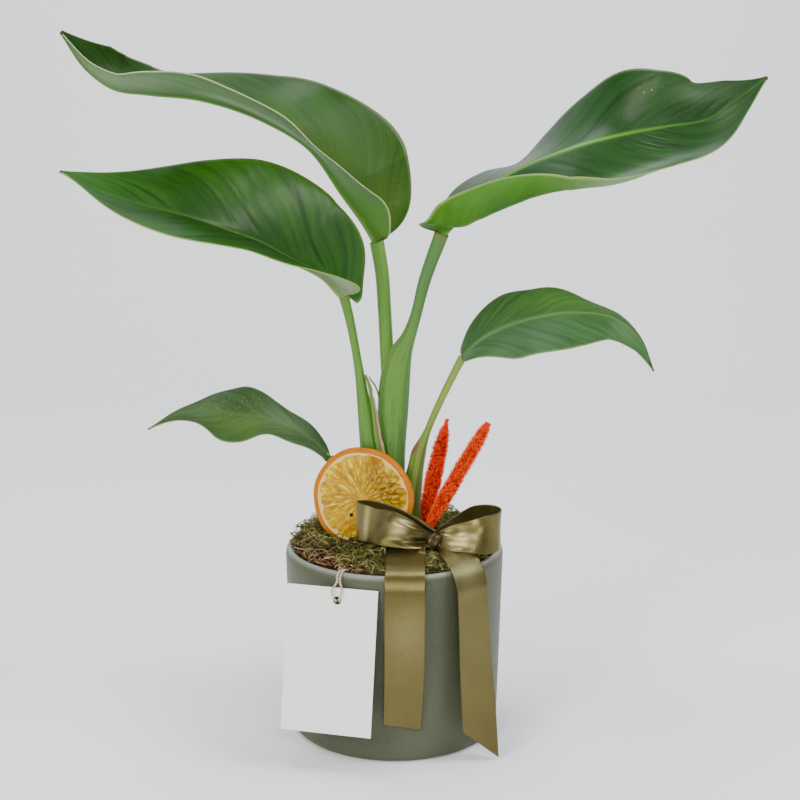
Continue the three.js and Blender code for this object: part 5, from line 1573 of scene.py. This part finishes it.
def add_moss_ground():
    shares = np.linspace(0.01, 1, MOSS_RINGS)
    rr, aa = np.meshgrid(shares * (MOSS_RADIUS - 0.4), round_angles(MOSS_SECTORS), indexing="ij")
    x, y = (rr * np.cos(aa)).ravel(), (rr * np.sin(aa)).ravel()
    z = moss_ground(x, y)
    place = np.column_stack([x, y, z])
    z = z + 1.5 * lumps(place, 2.6, 3) + 1.2 * lumps(place, 9, 2)
    z = np.array([min(h, ribbon_above(a, b) - RIBBON_ROOM) for a, b, h in zip(x, y, z)])
    points = np.column_stack([x, y, z])
    wall = points[-MOSS_SECTORS:].copy()
    wall[:, 2] = MOSS_BOTTOM
    points = np.vstack([points, wall, [[0, 0, z[:MOSS_SECTORS].mean()], [0, 0, MOSS_BOTTOM]]])
    faces = grid_faces(MOSS_RINGS + 1, MOSS_SECTORS, around=True)
    faces += fan_faces(0, MOSS_SECTORS, len(points) - 2)
    faces += fan_faces(MOSS_RINGS * MOSS_SECTORS, MOSS_SECTORS, len(points) - 1, flip=True)
    fields = {"green": green_share(points[:, 0], points[:, 1])}
    add_piece("moss_mat", points, faces, fields, [moss_ground_material()], ["moss_cover"], "moss")


def obstacles():
    """What the strands keep clear of: the stalks, the slice and the spikes."""
    trees = []
    for node in [f"leaf_{name}_stalk" for name in STALKS] + ["orange_slice", "spike_red", "spike_orange"]:
        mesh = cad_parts[node].data
        corners = [v.co / MM for v in mesh.vertices]
        trees.append(BVHTree.FromPolygons(corners, [tuple(p.vertices) for p in mesh.polygons]))
    return trees


def clear_of(line, trees, room):
    if any(ribbon_above(p[0], p[1]) < p[2] + RIBBON_ROOM for p in line):
        return False
    for p in line[::2]:
        for tree in trees:
            place, normal, _, far = tree.find_nearest(Vector(p), 12)
            if place is not None and (far < room or (Vector(p) - place).dot(normal) < 0):
                return False
    return True


def strand_line(random, steps, step, rise, curl):
    """A curling line through the moss. It sets out upwards and comes down again, and above
    the rim it may lean out over it."""
    distance = STRANDS_REACH * random.uniform(0, 1) ** 0.42
    around = random.uniform(0, TURN)
    place = np.array([distance * math.cos(around), distance * math.sin(around), 0.0])
    place[2] = float(moss_ground(place[0], place[1]))
    heading = random.uniform(0, TURN)
    climb = random.uniform(0.2, 1.0) * rise
    turn = random.uniform(-curl, curl)
    line = []
    for _ in range(steps + 1):
        line.append(place.copy())
        turn += random.uniform(-curl, curl) * 0.6
        heading += turn
        level = math.cos(climb)
        way = np.array([level * math.cos(heading), level * math.sin(heading), math.sin(climb)])
        place = place + step * way
        climb -= (1.5 + random.uniform(-0.4, 0.6)) * rise / steps
        out = math.hypot(place[0], place[1])
        most = REACH_IN_POT if place[2] < POT_HEIGHT + 1 else REACH_OVER_RIM
        if out > most:
            place[:2] *= most / out
        ground = float(moss_ground(place[0], place[1]))
        if place[2] < ground:
            place[2] = ground
            climb = abs(climb) * 0.4
    return np.array(line)


def leaflets(line, random):
    """Small pointed leaves all round a strand: closed three-sided spikes."""
    one, other = frames_along(line)
    points, faces = [], []
    for k in np.repeat(np.arange(1, len(line)), LEAVES_A_STEP):
        share = random.uniform(0, 1)
        base = line[k - 1] * (1 - share) + line[k] * share
        away = way_round(random.uniform(0, TURN), one[k], other[k])
        forward = unit(line[k] - line[k - 1] + np.array([0, 0, 1e-6]))
        tip = base + (away * 0.8 + forward * 0.9) * random.uniform(1.1, 2.4)
        side = np.cross(forward, away)
        faces.extend([[len(points) + corner for corner in face] for face in LEAFLET_FACES])
        points.extend([base + side * 0.3, base - side * 0.3, base + forward * 0.5 + away * 0.12, tip])
    return np.array(points), faces


def strand_material(name, tones):
    shade = Shade(name, roughness=0.8, specular_ior_level=0.15)
    own, out = shade.fields("own out")
    steps = [own.between((k - 0.5) / len(tones), (k + 0.1) / len(tones)) for k in range(1, len(tones))]
    return shade.paint(
        tones[0], *zip(steps, tones[1:]), (out.between(0.3, 1.0) * 0.5, tones[-1]),
        (shade.noise(1200.0).between(0.5, 0.8) * 0.3, "b5a878"),
    )


def add_strands(name, tones, parts):
    materials = [strand_material(name + "_tones", tones)]
    add_piece(name, *joined(parts), materials, ["moss_cover"], "moss")


def add_mossy_strands(trees, name, seed, count, tones):
    """Strands set with small leaves, where the ground is green."""
    random = np.random.default_rng(seed)
    parts = []
    while len(parts) < count:
        line = strand_line(random, 8, random.uniform(1.2, 2.2), 1.25, 0.42)
        share = float(green_share(*line[0][:2]))
        if random.uniform(0, 1) > share or not clear_of(line, trees, 1.2):
            continue
        own = random.uniform(0, 1)
        stem = tube(line, np.linspace(0.34, 0.14, len(line)), 3)
        leaves = leaflets(line, random)
        tips = np.tile([0.2, 0.2, 0.2, 1.0], len(leaves[0]) // 4)
        parts.append(joined([(*stem, {"own": own, "out": 0.2}), (*leaves, {"own": own, "out": tips})]))
    add_strands(name, tones, parts)


def add_dry_strands(trees, name, seed, count, tones, rise, radius, left_out):
    """Bare curled strands."""
    random = np.random.default_rng(seed)
    parts = []
    if name == "moss_dry_strands":
        parts.append((*tube(centripetal_curve(STEM_OVER_KNOT, 24), radius, 5), {"own": 0.0, "out": 0.0}))
    while len(parts) < count:
        line = strand_line(random, 9, random.uniform(0.9, 2.0), rise, 0.6)
        share = float(green_share(*line[0][:2]))
        if random.uniform(0, 1) < left_out * share or not clear_of(line, trees, 1.0):
            continue
        own = random.uniform(0, 1)
        radii = radius * random.uniform(0.7, 1.2) * np.linspace(1.0, 0.45, len(line))
        parts.append((*tube(line, radii, 4), {"own": own, "out": 0.3}))
    add_strands(name, tones, parts)


add_moss_ground()
neighbours = obstacles()
for strands_name, kind in MOSSY_STRANDS.items():
    add_mossy_strands(neighbours, strands_name, *kind)
for strands_name, kind in DRY_STRANDS.items():
    add_dry_strands(neighbours, strands_name, *kind)
